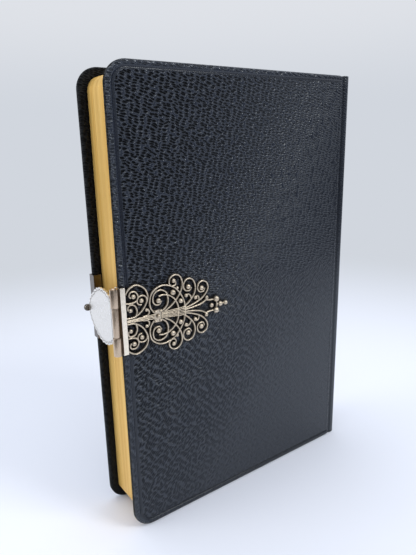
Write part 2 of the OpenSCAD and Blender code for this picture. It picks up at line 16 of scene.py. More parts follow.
import bmesh
import bpy
from mathutils import Matrix, Vector, noise
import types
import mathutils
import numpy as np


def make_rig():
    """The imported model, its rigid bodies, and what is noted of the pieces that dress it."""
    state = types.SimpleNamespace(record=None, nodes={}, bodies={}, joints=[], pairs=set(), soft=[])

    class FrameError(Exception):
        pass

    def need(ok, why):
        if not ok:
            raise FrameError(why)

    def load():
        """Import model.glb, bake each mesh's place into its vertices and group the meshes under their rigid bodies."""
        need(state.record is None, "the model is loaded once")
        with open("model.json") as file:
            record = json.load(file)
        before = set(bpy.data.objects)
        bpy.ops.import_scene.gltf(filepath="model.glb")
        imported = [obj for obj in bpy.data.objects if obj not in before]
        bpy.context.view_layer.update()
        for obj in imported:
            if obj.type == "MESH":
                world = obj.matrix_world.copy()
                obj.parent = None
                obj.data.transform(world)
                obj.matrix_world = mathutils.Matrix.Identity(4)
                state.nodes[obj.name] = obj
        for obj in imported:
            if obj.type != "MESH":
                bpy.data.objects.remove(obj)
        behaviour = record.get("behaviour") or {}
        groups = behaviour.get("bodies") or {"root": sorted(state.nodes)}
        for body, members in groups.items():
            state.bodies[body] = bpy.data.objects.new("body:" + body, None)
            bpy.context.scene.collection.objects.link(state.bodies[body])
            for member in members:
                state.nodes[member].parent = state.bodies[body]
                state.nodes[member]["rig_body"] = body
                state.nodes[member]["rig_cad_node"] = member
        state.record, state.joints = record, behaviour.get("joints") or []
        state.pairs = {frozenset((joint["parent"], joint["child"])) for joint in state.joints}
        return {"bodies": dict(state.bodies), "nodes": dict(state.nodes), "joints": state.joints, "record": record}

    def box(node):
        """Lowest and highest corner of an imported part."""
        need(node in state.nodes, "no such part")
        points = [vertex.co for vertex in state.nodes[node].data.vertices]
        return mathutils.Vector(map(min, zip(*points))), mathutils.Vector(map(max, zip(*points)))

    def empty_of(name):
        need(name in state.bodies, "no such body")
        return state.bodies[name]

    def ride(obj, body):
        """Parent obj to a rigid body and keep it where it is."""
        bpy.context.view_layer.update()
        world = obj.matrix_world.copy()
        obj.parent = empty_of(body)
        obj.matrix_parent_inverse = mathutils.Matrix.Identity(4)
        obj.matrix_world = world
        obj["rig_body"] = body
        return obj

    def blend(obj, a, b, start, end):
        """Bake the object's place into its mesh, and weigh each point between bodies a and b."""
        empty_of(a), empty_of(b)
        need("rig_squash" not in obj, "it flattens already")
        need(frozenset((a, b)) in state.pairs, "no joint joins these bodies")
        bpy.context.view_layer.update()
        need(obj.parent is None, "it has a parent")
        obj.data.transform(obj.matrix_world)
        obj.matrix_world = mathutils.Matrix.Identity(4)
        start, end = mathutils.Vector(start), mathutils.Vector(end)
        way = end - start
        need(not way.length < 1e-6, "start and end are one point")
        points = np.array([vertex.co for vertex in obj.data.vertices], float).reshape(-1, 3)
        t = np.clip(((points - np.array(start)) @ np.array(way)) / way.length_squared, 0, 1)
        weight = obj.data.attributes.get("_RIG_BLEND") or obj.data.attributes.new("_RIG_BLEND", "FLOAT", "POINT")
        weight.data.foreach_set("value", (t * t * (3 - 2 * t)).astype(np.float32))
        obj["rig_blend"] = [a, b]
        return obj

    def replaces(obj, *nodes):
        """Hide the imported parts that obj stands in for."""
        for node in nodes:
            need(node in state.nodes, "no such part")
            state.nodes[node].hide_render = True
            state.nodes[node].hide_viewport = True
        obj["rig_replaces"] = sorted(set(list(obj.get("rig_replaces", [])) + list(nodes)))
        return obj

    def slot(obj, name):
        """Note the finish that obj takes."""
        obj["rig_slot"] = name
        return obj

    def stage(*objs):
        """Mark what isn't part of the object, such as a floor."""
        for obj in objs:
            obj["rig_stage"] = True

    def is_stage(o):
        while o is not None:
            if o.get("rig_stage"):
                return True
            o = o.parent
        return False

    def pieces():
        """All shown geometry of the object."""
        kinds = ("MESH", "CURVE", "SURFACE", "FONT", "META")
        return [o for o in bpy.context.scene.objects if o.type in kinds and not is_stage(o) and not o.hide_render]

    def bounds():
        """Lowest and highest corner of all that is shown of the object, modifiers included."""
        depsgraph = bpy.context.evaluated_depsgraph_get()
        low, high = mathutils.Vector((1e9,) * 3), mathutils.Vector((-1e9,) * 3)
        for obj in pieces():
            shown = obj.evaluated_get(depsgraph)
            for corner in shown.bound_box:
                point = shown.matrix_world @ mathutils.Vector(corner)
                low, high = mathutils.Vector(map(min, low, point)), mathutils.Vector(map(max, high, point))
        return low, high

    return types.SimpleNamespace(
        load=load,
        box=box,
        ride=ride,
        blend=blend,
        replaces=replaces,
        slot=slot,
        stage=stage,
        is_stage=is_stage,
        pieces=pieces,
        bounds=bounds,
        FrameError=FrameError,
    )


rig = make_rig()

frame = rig.load()
cad_low, cad_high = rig.bounds()
NODES = frame["nodes"]
print("pieces in the frame:", len(NODES))

# %% [markdown]
# Bookbinders measure from the edges of a cover, so this script does too. Its own numbers are millimetres:
# x from the covers' fore-edge towards the spine, y from the face of the clasp cover into the book, and z up
# from the tail. `at` turns such a place into a point of the scene, which is in metres. The sizes that the
# solids already have are read from their boxes, so nothing is measured twice.

# %% Places and sizes
MM = 0.001
cover_low, cover_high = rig.box("clasp_cover_leather")
_, catch_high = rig.box("catch_cover_leather")
spine_low, spine_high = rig.box("spine_leather")
pages_low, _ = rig.box("text_block")
paste_low, paste_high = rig.box("clasp_pastedown")
ORIGIN = cover_low.copy()


def at(x, y, z):
    return ORIGIN + Vector((x, y, z)) * MM


def in_mm(point):
    return (point - ORIGIN) / MM


COVER_END, COVER_T, COVER_H = in_mm(cover_high)
BOOK_T = in_mm(catch_high).y
SHOULDER_X, SHOULDER_DROP, _ = in_mm(spine_low)
BACK_X = in_mm(spine_high).x
PAGES_X, _, PAGES_Z = in_mm(pages_low)
MID_Y = BOOK_T / 2
MID_Z = COVER_H / 2
JOINT_AT = {joint["name"]: in_mm(Vector(joint["pos_m"])) for joint in frame["joints"]}
AXIS_X = JOINT_AT["clasp_cover_hinge"].x
print(f"cover {COVER_END:.1f} x {COVER_H:.1f} x {COVER_T:.1f} mm, book {BOOK_T:.1f} mm thick")

# %% [markdown]
# Almost every mesh here is a set of rows of points with quads between each row and the next, the way a
# loft is made in any modeller. The shapes could be modelled by hand instead, but rows worked out from the
# solids' sizes fit them exactly. One helper adds such a patch to a `bmesh`, Blender's editable mesh.

# %% Rows of points
def add_rows(bm, rows, closed=False):
    """Quads between each row of points and the next. A closed row joins its end to its start."""
    grid = [[bm.verts.new(p) for p in row] for row in rows]
    count = len(rows[0])
    for low, high in zip(grid, grid[1:]):
        for i in range(count if closed else count - 1):
            j = (i + 1) % count
            bm.faces.new((low[i], low[j], high[j], high[i]))
    return grid


def spaced(start, end, steps):
    return [start + (end - start) * i / steps for i in range(steps + 1)]


print("three even steps from 0 to 1:", [round(v, 2) for v in spaced(0, 1, 3)])

# %% [markdown] The patches of a piece share their outer points, so they can be welded into one skin. The
# next helper does that, turns the normals outwards and keeps the hard edges hard.

# %% From patches to a piece
WELD = 0.002 * MM
HARD_EDGE = 40


def finish_mesh(bm, name, finish, slot, body=None, sharp=HARD_EDGE, fill=False,
                second=None, is_second=None):
    """Turns the patches into one object, with edges sharper than the given angle kept hard.

    Where a second finish is given, the faces whose middle passes the test get it.
    """
    bmesh.ops.remove_doubles(bm, verts=bm.verts, dist=WELD)
    bmesh.ops.dissolve_degenerate(bm, edges=bm.edges, dist=WELD / 2)
    if fill:
        bmesh.ops.holes_fill(bm, edges=[e for e in bm.edges if e.is_boundary], sides=0)
    bmesh.ops.recalc_face_normals(bm, faces=bm.faces)
    for face in bm.faces:
        face.smooth = True
        face.material_index = int(bool(second) and is_second(*in_mm(face.calc_center_median())))
    for edge in bm.edges:
        edge.smooth = edge.calc_face_angle(0) < math.radians(sharp)
    mesh = bpy.data.meshes.new(name)
    bm.to_mesh(mesh)
    bm.free()
    piece = bpy.data.objects.new(name, mesh)
    bpy.context.scene.collection.objects.link(piece)
    mesh.materials.append(finish)
    if second:
        mesh.materials.append(second)
    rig.slot(piece, slot)
    if body:
        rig.ride(piece, body)
    print(f"{name}: {len(mesh.polygons)} faces")
    return piece


print(f"points within {WELD / MM:.3f} mm are welded, edges over {HARD_EDGE} degrees stay hard")

# %% [markdown]
# Some looks depend on the place: the grain is pressed flat in the tooled line, and leather is rubbed at the
# corners. An image could hold that, but a number stored at each point needs no unwrapping, and the material
# reads it by its name.

# %% Values kept in a mesh
def paint(piece, name, value_at):
    """Stores a number at each point of the mesh, for the material to read."""
    values = [value_at(*in_mm(v.co)) for v in piece.data.vertices]
    piece.data.attributes.new(name, "FLOAT", "POINT").data.foreach_set("value", values)


def paint_place(piece, name, place_at):
    """Stores a place in a flat pattern at each point of the mesh."""
    values = [n for v in piece.data.vertices for n in (*place_at(*in_mm(v.co)), 0.0)]
    piece.data.attributes.new(name, "FLOAT_VECTOR", "POINT").data.foreach_set("vector", values)


# %% [markdown]
# A material is a small graph of nodes, and so is the light all round. Written out call by call they are hard
# to read, so a `Graph` gives each kind of node a short method. Constant values go straight onto the shader's
# own sockets, because an exported model keeps them only there.

# %% A short way to write materials
class Graph:
    """A tree of shader nodes, with a short method for each kind of node that the book needs."""

    def __init__(self, tree):
        self.tree = tree

    def give(self, target, sockets):
        for name, value in sockets.items():
            socket = target.inputs[name.replace("_", " ") if isinstance(name, str) else name]
            if isinstance(value, bpy.types.NodeSocket):
                self.tree.links.new(value, socket)
            else:
                socket.default_value = value

    def add(self, kind, output=0, settings=None, sockets=None):
        """Adds a node and returns one of its outputs."""
        new = self.tree.nodes.new("ShaderNode" + kind)
        for name, value in (settings or {}).items():
            setattr(new, name, value)
        self.give(new, sockets or {})
        return new.outputs[output]

    def number(self, operation, a, b=0.0, c=0.0):
        return self.add("Math", 0, {"operation": operation}, {0: a, 1: b, 2: c})

    def vector(self, operation, a, b=(0, 0, 0), output=0):
        return self.add("VectorMath", output, {"operation": operation}, {0: a, 1: b})

    def range(self, value, low, high, to_low=0.0, to_high=1.0):
        return self.add("MapRange", 0, {"interpolation_type": "SMOOTHSTEP"},
                        {"Value": value, "From Min": low, "From Max": high,
                         "To Min": to_low, "To Max": to_high})

    def blend(self, share, a, b):
        return self.add("Mix", 2, {"data_type": "RGBA"}, {0: share, 6: a, 7: b})


# %% [markdown]
# A `Finish` is such a graph for one material. It adds what most finishes of the book need: places in
# millimetres, noise, stored values and bump. Colours are written as a picture editor shows them.

# %% Finishes and colours
class Finish(Graph):
    """A material, whose patterns are placed by the book's own millimetres."""

    def __init__(self, name, **sockets):
        self.material = bpy.data.materials.new(name)
        self.material.use_nodes = True
        super().__init__(self.material.node_tree)
        self.shader = self.tree.nodes["Principled BSDF"]
        self.give(self.shader, sockets)

    def place_mm(self):
        """The place on the piece itself, so that a pattern stays put when a body moves."""
        place = self.vector("SUBTRACT", self.add("TexCoord", "Object"), ORIGIN)
        return self.add("VectorMath", 0, {"operation": "SCALE"}, {0: place, "Scale": 1 / MM})

    def axes(self, place):
        return [self.add("SeparateXYZ", axis, {}, {0: place}) for axis in "XYZ"]

    def stretched(self, place, lengths, angle=0.0):
        """Coordinates whose unit has the given length along each axis, turned in the plane of a cover."""
        return self.add("Mapping", 0, {"vector_type": "TEXTURE"},
                        {"Vector": place, "Scale": lengths, "Rotation": (0, math.radians(angle), 0)})

    def noise(self, vector, scale=1.0, detail=2.0, rough=0.5, twist=0.0):
        return self.add("TexNoise", 0, {}, {"Vector": vector, "Scale": scale, "Detail": detail,
                                            "Roughness": rough, "Distortion": twist})

    def painted(self, name):
        return self.add("Attribute", "Fac", {"attribute_name": name})

    def bump(self, height, depth_mm, strength=1.0, normal=None):
        sockets = {"Height": height, "Strength": strength, "Distance": depth_mm * MM}
        if normal:
            sockets["Normal"] = normal
        return self.add("Bump", 0, {}, sockets)

    def done(self, **sockets):
        self.give(self.shader, sockets)
        return self.material


def rgb(red, green, blue):
    """A colour as a picture editor gives it, 0 to 255, turned into the linear values that a shader needs."""
    linear = [((c / 255 + 0.055) / 1.055) ** 2.4 if c > 10 else c / 255 / 12.92 for c in (red, green, blue)]
    return (*linear, 1.0)


# %% [markdown]
# ## Camera and light
#
# The camera stands where the photographer stood. Its place was worked out from the corners of the front
# cover, which is surer than moving it by eye: 14 cm above the table, a little to the left of the fore-edge,
# looking slightly down. The photo is taller than it is wide, so the sensor's 36 mm lie along the height of
# 555 pixels.

# %% Camera
PHOTO_H = 555
FOCAL_PIXELS = 504.9
SENSOR = 36
CAMERA_AT = at(-68.75, -144.98, 140.66)
YAW, PITCH, ROLL = 0.6231, -0.2646, 0.0234

camera = bpy.data.objects.new("camera", bpy.data.cameras.new("camera"))
bpy.context.scene.collection.objects.link(camera)
bpy.context.scene.camera = camera
camera.data.sensor_width = SENSOR
camera.data.lens = FOCAL_PIXELS * SENSOR / PHOTO_H
camera.data.clip_start = 0.01
forward = Vector((math.sin(YAW) * math.cos(PITCH), math.cos(YAW) * math.cos(PITCH), math.sin(PITCH)))
level = Vector((math.cos(YAW), -math.sin(YAW), 0))
down = forward.cross(level)
right = level * math.cos(ROLL) + down * math.sin(ROLL)
up = level * math.sin(ROLL) - down * math.cos(ROLL)
camera.matrix_world = Matrix.Translation(CAMERA_AT) @ Matrix((right, up, -forward)).transposed().to_4x4()
print(f"lens {camera.data.lens:.2f} mm, camera at", [round(v, 4) for v in CAMERA_AT])

# %% [markdown]
# The book stands in a light tent of pale cloth. The tent is open at the front, a little to the right, and
# again at the left, and it is dark behind those openings. Only shiny surfaces show that: the upper part of
# the cover mirrors the front opening, and so looks blackest, and the hinge barrel mirrors both as dark
# bands. A photographed room could light the book too, but a few nodes do it without a file. What the camera
# sees behind the book is only a colour, and lights nothing.

# %% Light
TENT = rgb(209, 214, 222)
TENT_TOP = rgb(223, 226, 232)
CLOTH = (0.66, 0.71, 0.80, 1)
ROOM = (0.055, 0.055, 0.06, 1)
FRONT = Vector((0.40, -0.91, 0.06)).normalized()
FRONT_EDGE = (0.82, 0.97)
LEFT = Vector((-0.97, -0.2, 0.0)).normalized()
LEFT_EDGE = (0.88, 0.97)
LEFT_DARKNESS = 0.7


def build_world():
    world = bpy.data.worlds.new("tent")
    bpy.context.scene.world = world
    world.use_nodes = True
    world.node_tree.nodes.clear()
    tent = Graph(world.node_tree)
    direction = tent.add("TexCoord", "Generated")
    height = tent.add("SeparateXYZ", "Z", {}, {0: direction})
    seen = tent.blend(tent.range(height, 0.05, 0.24), TENT, TENT_TOP)
    front = tent.range(tent.vector("DOT_PRODUCT", direction, FRONT, "Value"), *FRONT_EDGE)
    aside = tent.vector("DOT_PRODUCT", direction, LEFT, "Value")
    left = tent.range(aside, *LEFT_EDGE, 0.0, LEFT_DARKNESS)
    opening = tent.number("MAXIMUM", front, left)
    mirrored = tent.number("MULTIPLY", opening, tent.add("LightPath", "Is Glossy Ray"))
    light = tent.blend(mirrored, CLOTH, ROOM)
    colour = tent.blend(tent.add("LightPath", "Is Camera Ray"), light, seen)
    glow = tent.add("Background", 0, {}, {"Color": colour})
    tent.give(tent.tree.nodes.new("ShaderNodeOutputWorld"), {"Surface": glow})


def add_lamp(name, power, size, place, aim):
    lamp = bpy.data.objects.new(name, bpy.data.lights.new(name, "AREA"))
    bpy.context.scene.collection.objects.link(lamp)
    lamp.data.energy = power
    lamp.data.size = size
    lamp.location = place
    lamp.rotation_euler = (Vector(aim) - Vector(place)).to_track_quat("-Z", "Y").to_euler()


build_world()
BOOK_MIDDLE = (0, 0, 0.08)
add_lamp("lamp_above", 2.4, 0.8, (-0.1, 0.1, 0.95), BOOK_MIDDLE)
add_lamp("lamp_front", 3.9, 0.35, (0.38, -0.72, 0.72), BOOK_MIDDLE)
add_lamp("lamp_left", 2.2, 0.5, (-0.85, 0.3, 0.4), BOOK_MIDDLE)
bpy.context.scene.view_settings.view_transform = "Standard"
print("lamps:", sorted(lamp.name for lamp in bpy.data.lights))

# %% [markdown] The floor is a sheet of paper, and an ordinary matt surface, so the book's shadow falls on
# it. A sheet that curves up behind the book would need lamps of its own. So the floor is flat, and away
# from the book the camera sees it turn slowly into the colour of the tent, with no horizon. Shiny surfaces
# show where the sheet ends, in front and at the left, and the dark table beyond.

# %% Floor
PAPER = rgb(236, 238, 245)
TABLE = (0.06, 0.05, 0.045, 1)
SHEET_FRONT = Vector((0.30, -0.95, 0))
SHEET_FRONT_END = (0.26, 0.46)
SHEET_LEFT = Vector((-0.95, -0.30, 0))
SHEET_LEFT_END = (0.2, 0.3)
FADE = (0.08, 0.46)
FLOOR_R = 4.0


def build_floor():
    bm = bmesh.new()
    bmesh.ops.create_circle(bm, cap_ends=True, segments=96, radius=FLOOR_R)
    mesh = bpy.data.meshes.new("floor")
    bm.to_mesh(mesh)
    bm.free()
    floor = bpy.data.objects.new("floor", mesh)
    bpy.context.scene.collection.objects.link(floor)
    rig.stage(floor)
    paper = Finish("floor_paper", Roughness=0.9, Specular_IOR_Level=0.1)
    place = paper.add("TexCoord", "Object")
    front = paper.range(paper.vector("DOT_PRODUCT", place, SHEET_FRONT, "Value"), *SHEET_FRONT_END)
    left = paper.range(paper.vector("DOT_PRODUCT", place, SHEET_LEFT, "Value"), *SHEET_LEFT_END)
    past = paper.number("MAXIMUM", front, left)
    past = paper.number("MULTIPLY", past, paper.add("LightPath", "Is Glossy Ray"))
    paper.done(Base_Color=paper.blend(past, PAPER, TABLE))
    distance = paper.vector("LENGTH", place, output="Value")
    far = paper.number("MULTIPLY", paper.range(distance, *FADE), paper.add("LightPath", "Is Camera Ray"))
    backdrop = paper.add("Emission", 0, {}, {"Color": TENT})
    surface = paper.add("MixShader", 0, {}, {0: far, 1: paper.shader.outputs[0], 2: backdrop})
    paper.give(paper.tree.nodes["Material Output"], {"Surface": surface})
    mesh.materials.append(paper.material)
    print("floor:", 2 * FLOOR_R, "m across")


build_floor()

# %% [markdown]
# ## Leather
#
# Morocco has a close grain: a net of smooth ridges with short, deep creases between them. The creases were
# drawn out in one direction when the skin was boarded, and that direction wanders over the cover: it falls
# to the right at the top and rises further down. Modelled pebbles would take millions of faces, so the grain
# is bump. Each direction is a set of stretched Voronoi cells, whose middles are the creases, and a slow
# noise mixes the two sets.

# %% The grain
CREASE_MM = (2.2, 0.9, 1)
CREASE_JITTER = 0.54
WANDER_MM = (2, 2, 0)
FALLING, RISING = -14, 45


def creases(leather, skin, angle):
    """Stretched cells, 0 in the middle of a crease and 1 on the ridge round it."""
    drawn = leather.add("Mapping", 0, {"vector_type": "TEXTURE"},
                        {"Vector": skin, "Scale": CREASE_MM, "Rotation": (0, 0, math.radians(angle))})
    cells = leather.add("TexVoronoi", 0, {"feature": "SMOOTH_F1", "voronoi_dimensions": "2D"},
                        {"Vector": drawn, "Scale": 1.0, "Smoothness": 0.1, "Randomness": CREASE_JITTER})
    return leather.range(cells, 0.12, 0.62)


def grain(leather, place, z):
    """The height of the grain, with creases that fall near the head and rise near the tail."""
    skin = leather.add("Attribute", "Vector", {"attribute_name": "skin"})
    swirl = leather.add("TexNoise", 1, {}, {"Vector": skin, "Scale": 0.25, "Detail": 1.0})
    loose = leather.add("VectorMath", 0, {"operation": "MULTIPLY_ADD"}, {0: swirl, 1: WANDER_MM, 2: skin})
    clouds = leather.noise(place, 0.045, 1.0)
    lower = leather.range(z, 50, 125, 1.0, 0.0)
    share = leather.range(leather.number("MULTIPLY_ADD", clouds, 1.6, lower), 1.0, 1.5)
    falling = creases(leather, loose, FALLING)
    rising = creases(leather, loose, RISING)
    pebbles = leather.add("Mix", 0, {"data_type": "FLOAT"}, {0: share, 2: falling, 3: rising})
    return leather.number("MULTIPLY_ADD", leather.noise(loose, 1.6, 2.0, 0.6), 0.1, pebbles)


print(f"creases {CREASE_MM[0]} x {CREASE_MM[1]} mm, turned from {FALLING} to {RISING} degrees")

# %% [markdown]
# The grain belongs to the flat skin, so each mesh stores where its points lay on the skin before it was
# turned over the edges. Handling has flattened the grain towards the lower right, and the colour there is a
# little darker. It is flatter still over the edges, and flattest in the tooled line: each mesh stores that
# too, and the material reads it. The ridges shine. The creases are rougher, and their dark colour and dimmed
# reflection are painted shade. Round the silver an ambient occlusion node darkens the leather and its shine,
# partly as old dirt and partly as painted shade. Where the leather is turned in it was pared thin, and has
# lost its colour and shine.

# %% Leather finishes
# The crease colours of both leathers and the crease shine are painted shade: they darken the creases where the bump
# alone casts no shade.
CREASE_SHADE = rgb(5, 6, 9)
PEBBLE = rgb(32, 37, 48)
SMOOTHED = rgb(20, 24, 32)
RUBBED = rgb(64, 68, 74)
# The grime colour, its shine and its reach darken the leather near the silver: partly old dirt, partly painted shade.
GRIME_AND_SHADE = rgb(10, 7, 5)
PARED_CREASE_SHADE = rgb(8, 8, 8)
PARED_FACE = rgb(22, 22, 22)
GRAIN_DEPTH_MM = 0.6
PORE_DEPTH_MM = 0.05
DIRT_AND_SHADE_REACH_MM = 1.6
RIDGE_SHINE = (0.92, 0.98, 1, 1)
CREASE_SHADE_SHINE = (0.05, 0.055, 0.06, 1)
DIRT_AND_SHADE_SHINE = (0.2, 0.18, 0.16, 1)


def morocco(name, crease, pebble, smoothed, gloss, shine):
    leather = Finish(name, Specular_IOR_Level=shine)
    place = leather.place_mm()
    x, _, z = leather.axes(place)
    relief = grain(leather, place, z)
    handled = leather.range(leather.number("MULTIPLY_ADD", z, -0.5, x), -65, 80, 1.0, 0.08)
    kept = leather.range(leather.painted("pressed"), 0, 1, 1.0, 0.06)
    grainy = leather.number("MULTIPLY", handled, kept)
    pores = leather.noise(place, 4.0, 2.0, 0.6)
    surface = leather.bump(relief, GRAIN_DEPTH_MM, grainy, leather.bump(pores, PORE_DEPTH_MM, 0.4))
    tops = leather.range(relief, 0.25, 0.85)
    creased = leather.number("MULTIPLY", leather.number("SUBTRACT", 1.0, tops), grainy)
    # Near the silver the occlusion darkens the colour and the shine: partly old dirt, partly painted shade.
    nearby = leather.add("AmbientOcclusion", "AO", {"samples": 6}, {"Distance": DIRT_AND_SHADE_REACH_MM * MM})
    dirt_and_shade = leather.range(nearby, 0.55, 0.95, 0.9, 0.0)
    # The dark colour of the creases is painted shade, and so is their dimmed reflection in the specular tint below.
    tone = leather.blend(creased, leather.blend(handled, smoothed, pebble), crease)
    tone = leather.blend(leather.number("MULTIPLY", leather.painted("rubbed"), tops), tone, RUBBED)
    tone = leather.blend(dirt_and_shade, tone, GRIME_AND_SHADE)
    polish_and_shade = leather.blend(dirt_and_shade, leather.blend(creased, RIDGE_SHINE, CREASE_SHADE_SHINE), DIRT_AND_SHADE_SHINE)
    rough = leather.range(creased, 0, 1, gloss, min(0.9, gloss + 0.25))
    return leather.done(Base_Color=tone, Roughness=rough, Specular_Tint=polish_and_shade, Normal=surface)


MOROCCO = morocco("black_morocco", CREASE_SHADE, PEBBLE, SMOOTHED, 0.27, 0.57)
PARED = morocco("pared_morocco", PARED_CREASE_SHADE, PARED_FACE, PARED_FACE, 0.6, 0.14)
print("leather finishes:", MOROCCO.name, "and", PARED.name)

# %% [markdown]
# A cover is a flat slab whose edges are rounded all the way round. A bevelled box would give that, but not
# the tooled line that runs beside the edge. So its outer face is built from three patches that share their
# points: closed rings over the rounded edge, U-shaped rings that follow the line along three sides, and a
# plain grid in the middle. Rings that keep one number of points at every size can be joined row by row, and
# where a ring shrinks to the centre of its corner the points are welded.

# %% Rings of a cover
FORE_R = 7.5
JOINT_R = 1.5
EDGE_R = 0.9
CORNER_STEPS = 12
JOINT_STEPS = 4
EDGE_STEPS = 7
GRID_X = spaced(FORE_R, COVER_END - JOINT_R, 64)
GRID_Z = spaced(FORE_R, COVER_H - FORE_R, 98)
LINE_AT = 2.35
LINE_HALF = 0.8
LINE_DEPTH = 0.45
LINE_INSETS = spaced(LINE_AT - LINE_HALF, LINE_AT + LINE_HALF, 10)
INNER_INSETS = [3.5, 4.4, 5.4, 6.4, FORE_R]
U_INSETS = [JOINT_R] + LINE_INSETS + INNER_INSETS
JOINT_Z = ([JOINT_R] + U_INSETS[1:-1] + GRID_Z + [COVER_H - d for d in U_INSETS[-2:0:-1]]
           + [COVER_H - JOINT_R])


def turn_points(centre_x, centre_z, radius, start, end, steps):
    """The points of a corner, without the two that its neighbours already have."""
    angles = [math.radians(a) for a in spaced(start, end, steps)[1:-1]]
    return [(centre_x + radius * math.cos(a), centre_z + radius * math.sin(a)) for a in angles]


def ring(x0, x1, z0, z1, r0, r1):
    """A rounded rectangle in x and z, with corner radius r0 at the fore-edge and r1 at the joint."""
    def fit(samples, low, high):
        first, last = samples[0], samples[-1]
        return [low + (high - low) * (s - first) / (last - first) for s in samples]

    head = [(x, z1) for x in fit(GRID_X, x0 + r0, x1 - r1)]
    joint = [(x1, z) for z in reversed(fit(JOINT_Z, z0 + r1, z1 - r1))]
    tail = [(x, z0) for x in reversed(fit(GRID_X, x0 + r0, x1 - r1))]
    fore = [(x0, z) for z in fit(GRID_Z, z0 + r0, z1 - r0)]
    return (head + turn_points(x1 - r1, z1 - r1, r1, 90, 0, JOINT_STEPS)
            + joint + turn_points(x1 - r1, z0 + r1, r1, 0, -90, JOINT_STEPS)
            + tail + turn_points(x0 + r0, z0 + r0, r0, -90, -180, CORNER_STEPS)
            + fore + turn_points(x0 + r0, z1 - r0, r0, 180, 90, CORNER_STEPS))


def cover_ring(inset):
    return ring(inset, COVER_END - inset, inset, COVER_H - inset, FORE_R - inset, JOINT_R - inset)


def u_ring(inset):
    """The head, fore-edge and tail sides of a ring, open at the joint."""
    r = FORE_R - inset
    head = [(x, COVER_H - inset) for x in reversed(GRID_X)]
    tail = [(x, inset) for x in GRID_X]
    fore = [(inset, z) for z in reversed(GRID_Z)]
    return (head + turn_points(FORE_R, COVER_H - FORE_R, r, 90, 180, CORNER_STEPS)
            + fore + turn_points(FORE_R, FORE_R, r, 180, 270, CORNER_STEPS) + tail)


print("points in a ring:", len(cover_ring(0)), "and in a U:", len(u_ring(JOINT_R)))

# %% [markdown]
# The line was pressed in with a hot tool, and shows as a soft furrow with a dark middle. It could be bump,
# but its edge catches the light, so the face itself dips. The skin was glued to pasteboard by hand, so a
# slow noise makes the rest of the face a little uneven, except close to the edge.

# %% The outer face
DIP_DEPTH = 0.07
DIPS_PER_MM = 0.07
CALM_END = 3
UNEVEN_FROM = 11


def inset_of(x, z):
    """How far a place lies inside the cover's edge, the joint side left out."""
    if x < FORE_R and abs(z - MID_Z) > MID_Z - FORE_R:
        return FORE_R - math.hypot(FORE_R - x, abs(z - MID_Z) - (MID_Z - FORE_R))
    return min(x, z, COVER_H - z)


def line_depth(inset):
    across = abs(inset - LINE_AT) / LINE_HALF
    return LINE_DEPTH * 0.5 * (1 + math.cos(math.pi * across)) if across < 1 else 0.0


def face_depth(x, z):
    """The outer face: the tooled line, and the slight unevenness of a skin glued to pasteboard."""
    inset = inset_of(x, z)
    uneven = min(1, max(0, (inset - CALM_END) / (UNEVEN_FROM - CALM_END)))
    dips = 0.5 + 0.5 * noise.noise(Vector((x, z, 0)) * DIPS_PER_MM)
    return line_depth(inset) + DIP_DEPTH * dips * uneven


print(f"the face lies {face_depth(LINE_AT, MID_Z):.2f} mm deep on the line and "
      f"{face_depth(COVER_END / 2, MID_Z):.2f} mm in the middle")

# %% [markdown]
# Each point of a cover also stores three things for the leather: where it lay on the flat skin, how far the
# grain was pressed flat there, and how much the leather was rubbed. They could be painted by hand, but they
# follow from the distance to the edge, so a formula for each keeps both covers alike.

# %% Where the leather is pressed and rubbed
CATCH_SKIN = 300
EDGE_FROM = 0.7
EDGE_PRESSED = 0.45
PRESSED_HALF = 0.8 * LINE_HALF
EDGE_RUB = 0.35
CORNER_RUB = 0.5
RUB_WIDTH = 1.0
RUB_HEIGHT = 1.6
CORNER_REACH = 12


def skin_at(x, y, z):
    """Where a point of a cover lay on the flat skin, before it was turned in over the board."""
    depth = min(y, BOOK_T - y)
    fore, head, tail = [max(0, 1 - d / FORE_R) for d in (x, COVER_H - z, z)]
    return x - depth * fore + (CATCH_SKIN if y > MID_Y else 0), z + depth * (head - tail)


def pressed_at(x, y, z):
    """The hot tool flattened the grain in the line, and the edge was hammered round."""
    inset = inset_of(x, z)
    if min(y, BOOK_T - y) > EDGE_FROM or inset < LINE_AT - LINE_HALF:
        return EDGE_PRESSED
    return 1.0 if inset < LINE_AT + PRESSED_HALF else 0.0


def rubbed_at(x, y, z):
    """Leather is rubbed where hands and shelves touch it: over the edges, and most at the corners."""
    depth = min(y, BOOK_T - y)
    inset = max(0.0, inset_of(x, z))
    edge = max(0, 1 - inset / RUB_WIDTH) * max(0, 1 - depth / RUB_HEIGHT)
    corner = max(0, 1 - math.hypot(x, MID_Z - abs(z - MID_Z)) / CORNER_REACH)
    return min(1, EDGE_RUB * edge + CORNER_RUB * edge * corner)


print(f"rubbed at the corner {rubbed_at(0, 0, 0):.2f}, halfway up the edge {rubbed_at(0, 0, MID_Z):.2f}")

# %% [markdown] The leather is turned in over the board's inner face. At the two outer corners it is cut
# and meets in a mitre, a fine furrow from the corner of the cover to the corner of the paper. The rings
# go on over the inner face, so a mitre needs no cut: the middle point of the corner is pressed down in
# each ring there.

# %% The two covers
PARED_FROM = 0.5
RIM = 1.2
TURN_IN = in_mm(paste_low).x
TURN_IN_T = COVER_T - in_mm(paste_low).y
PASTE_END = in_mm(paste_high).x
PASTE_LAP = 0.02
PASTE_R = 0.6
MITRE_DEPTH = 0.12
# The middle points of two corners, counted back from the end of a ring.
HEAD_MITRE = -(CORNER_STEPS // 2)
TAIL_MITRE = HEAD_MITRE - len(GRID_Z) - (CORNER_STEPS - 1)


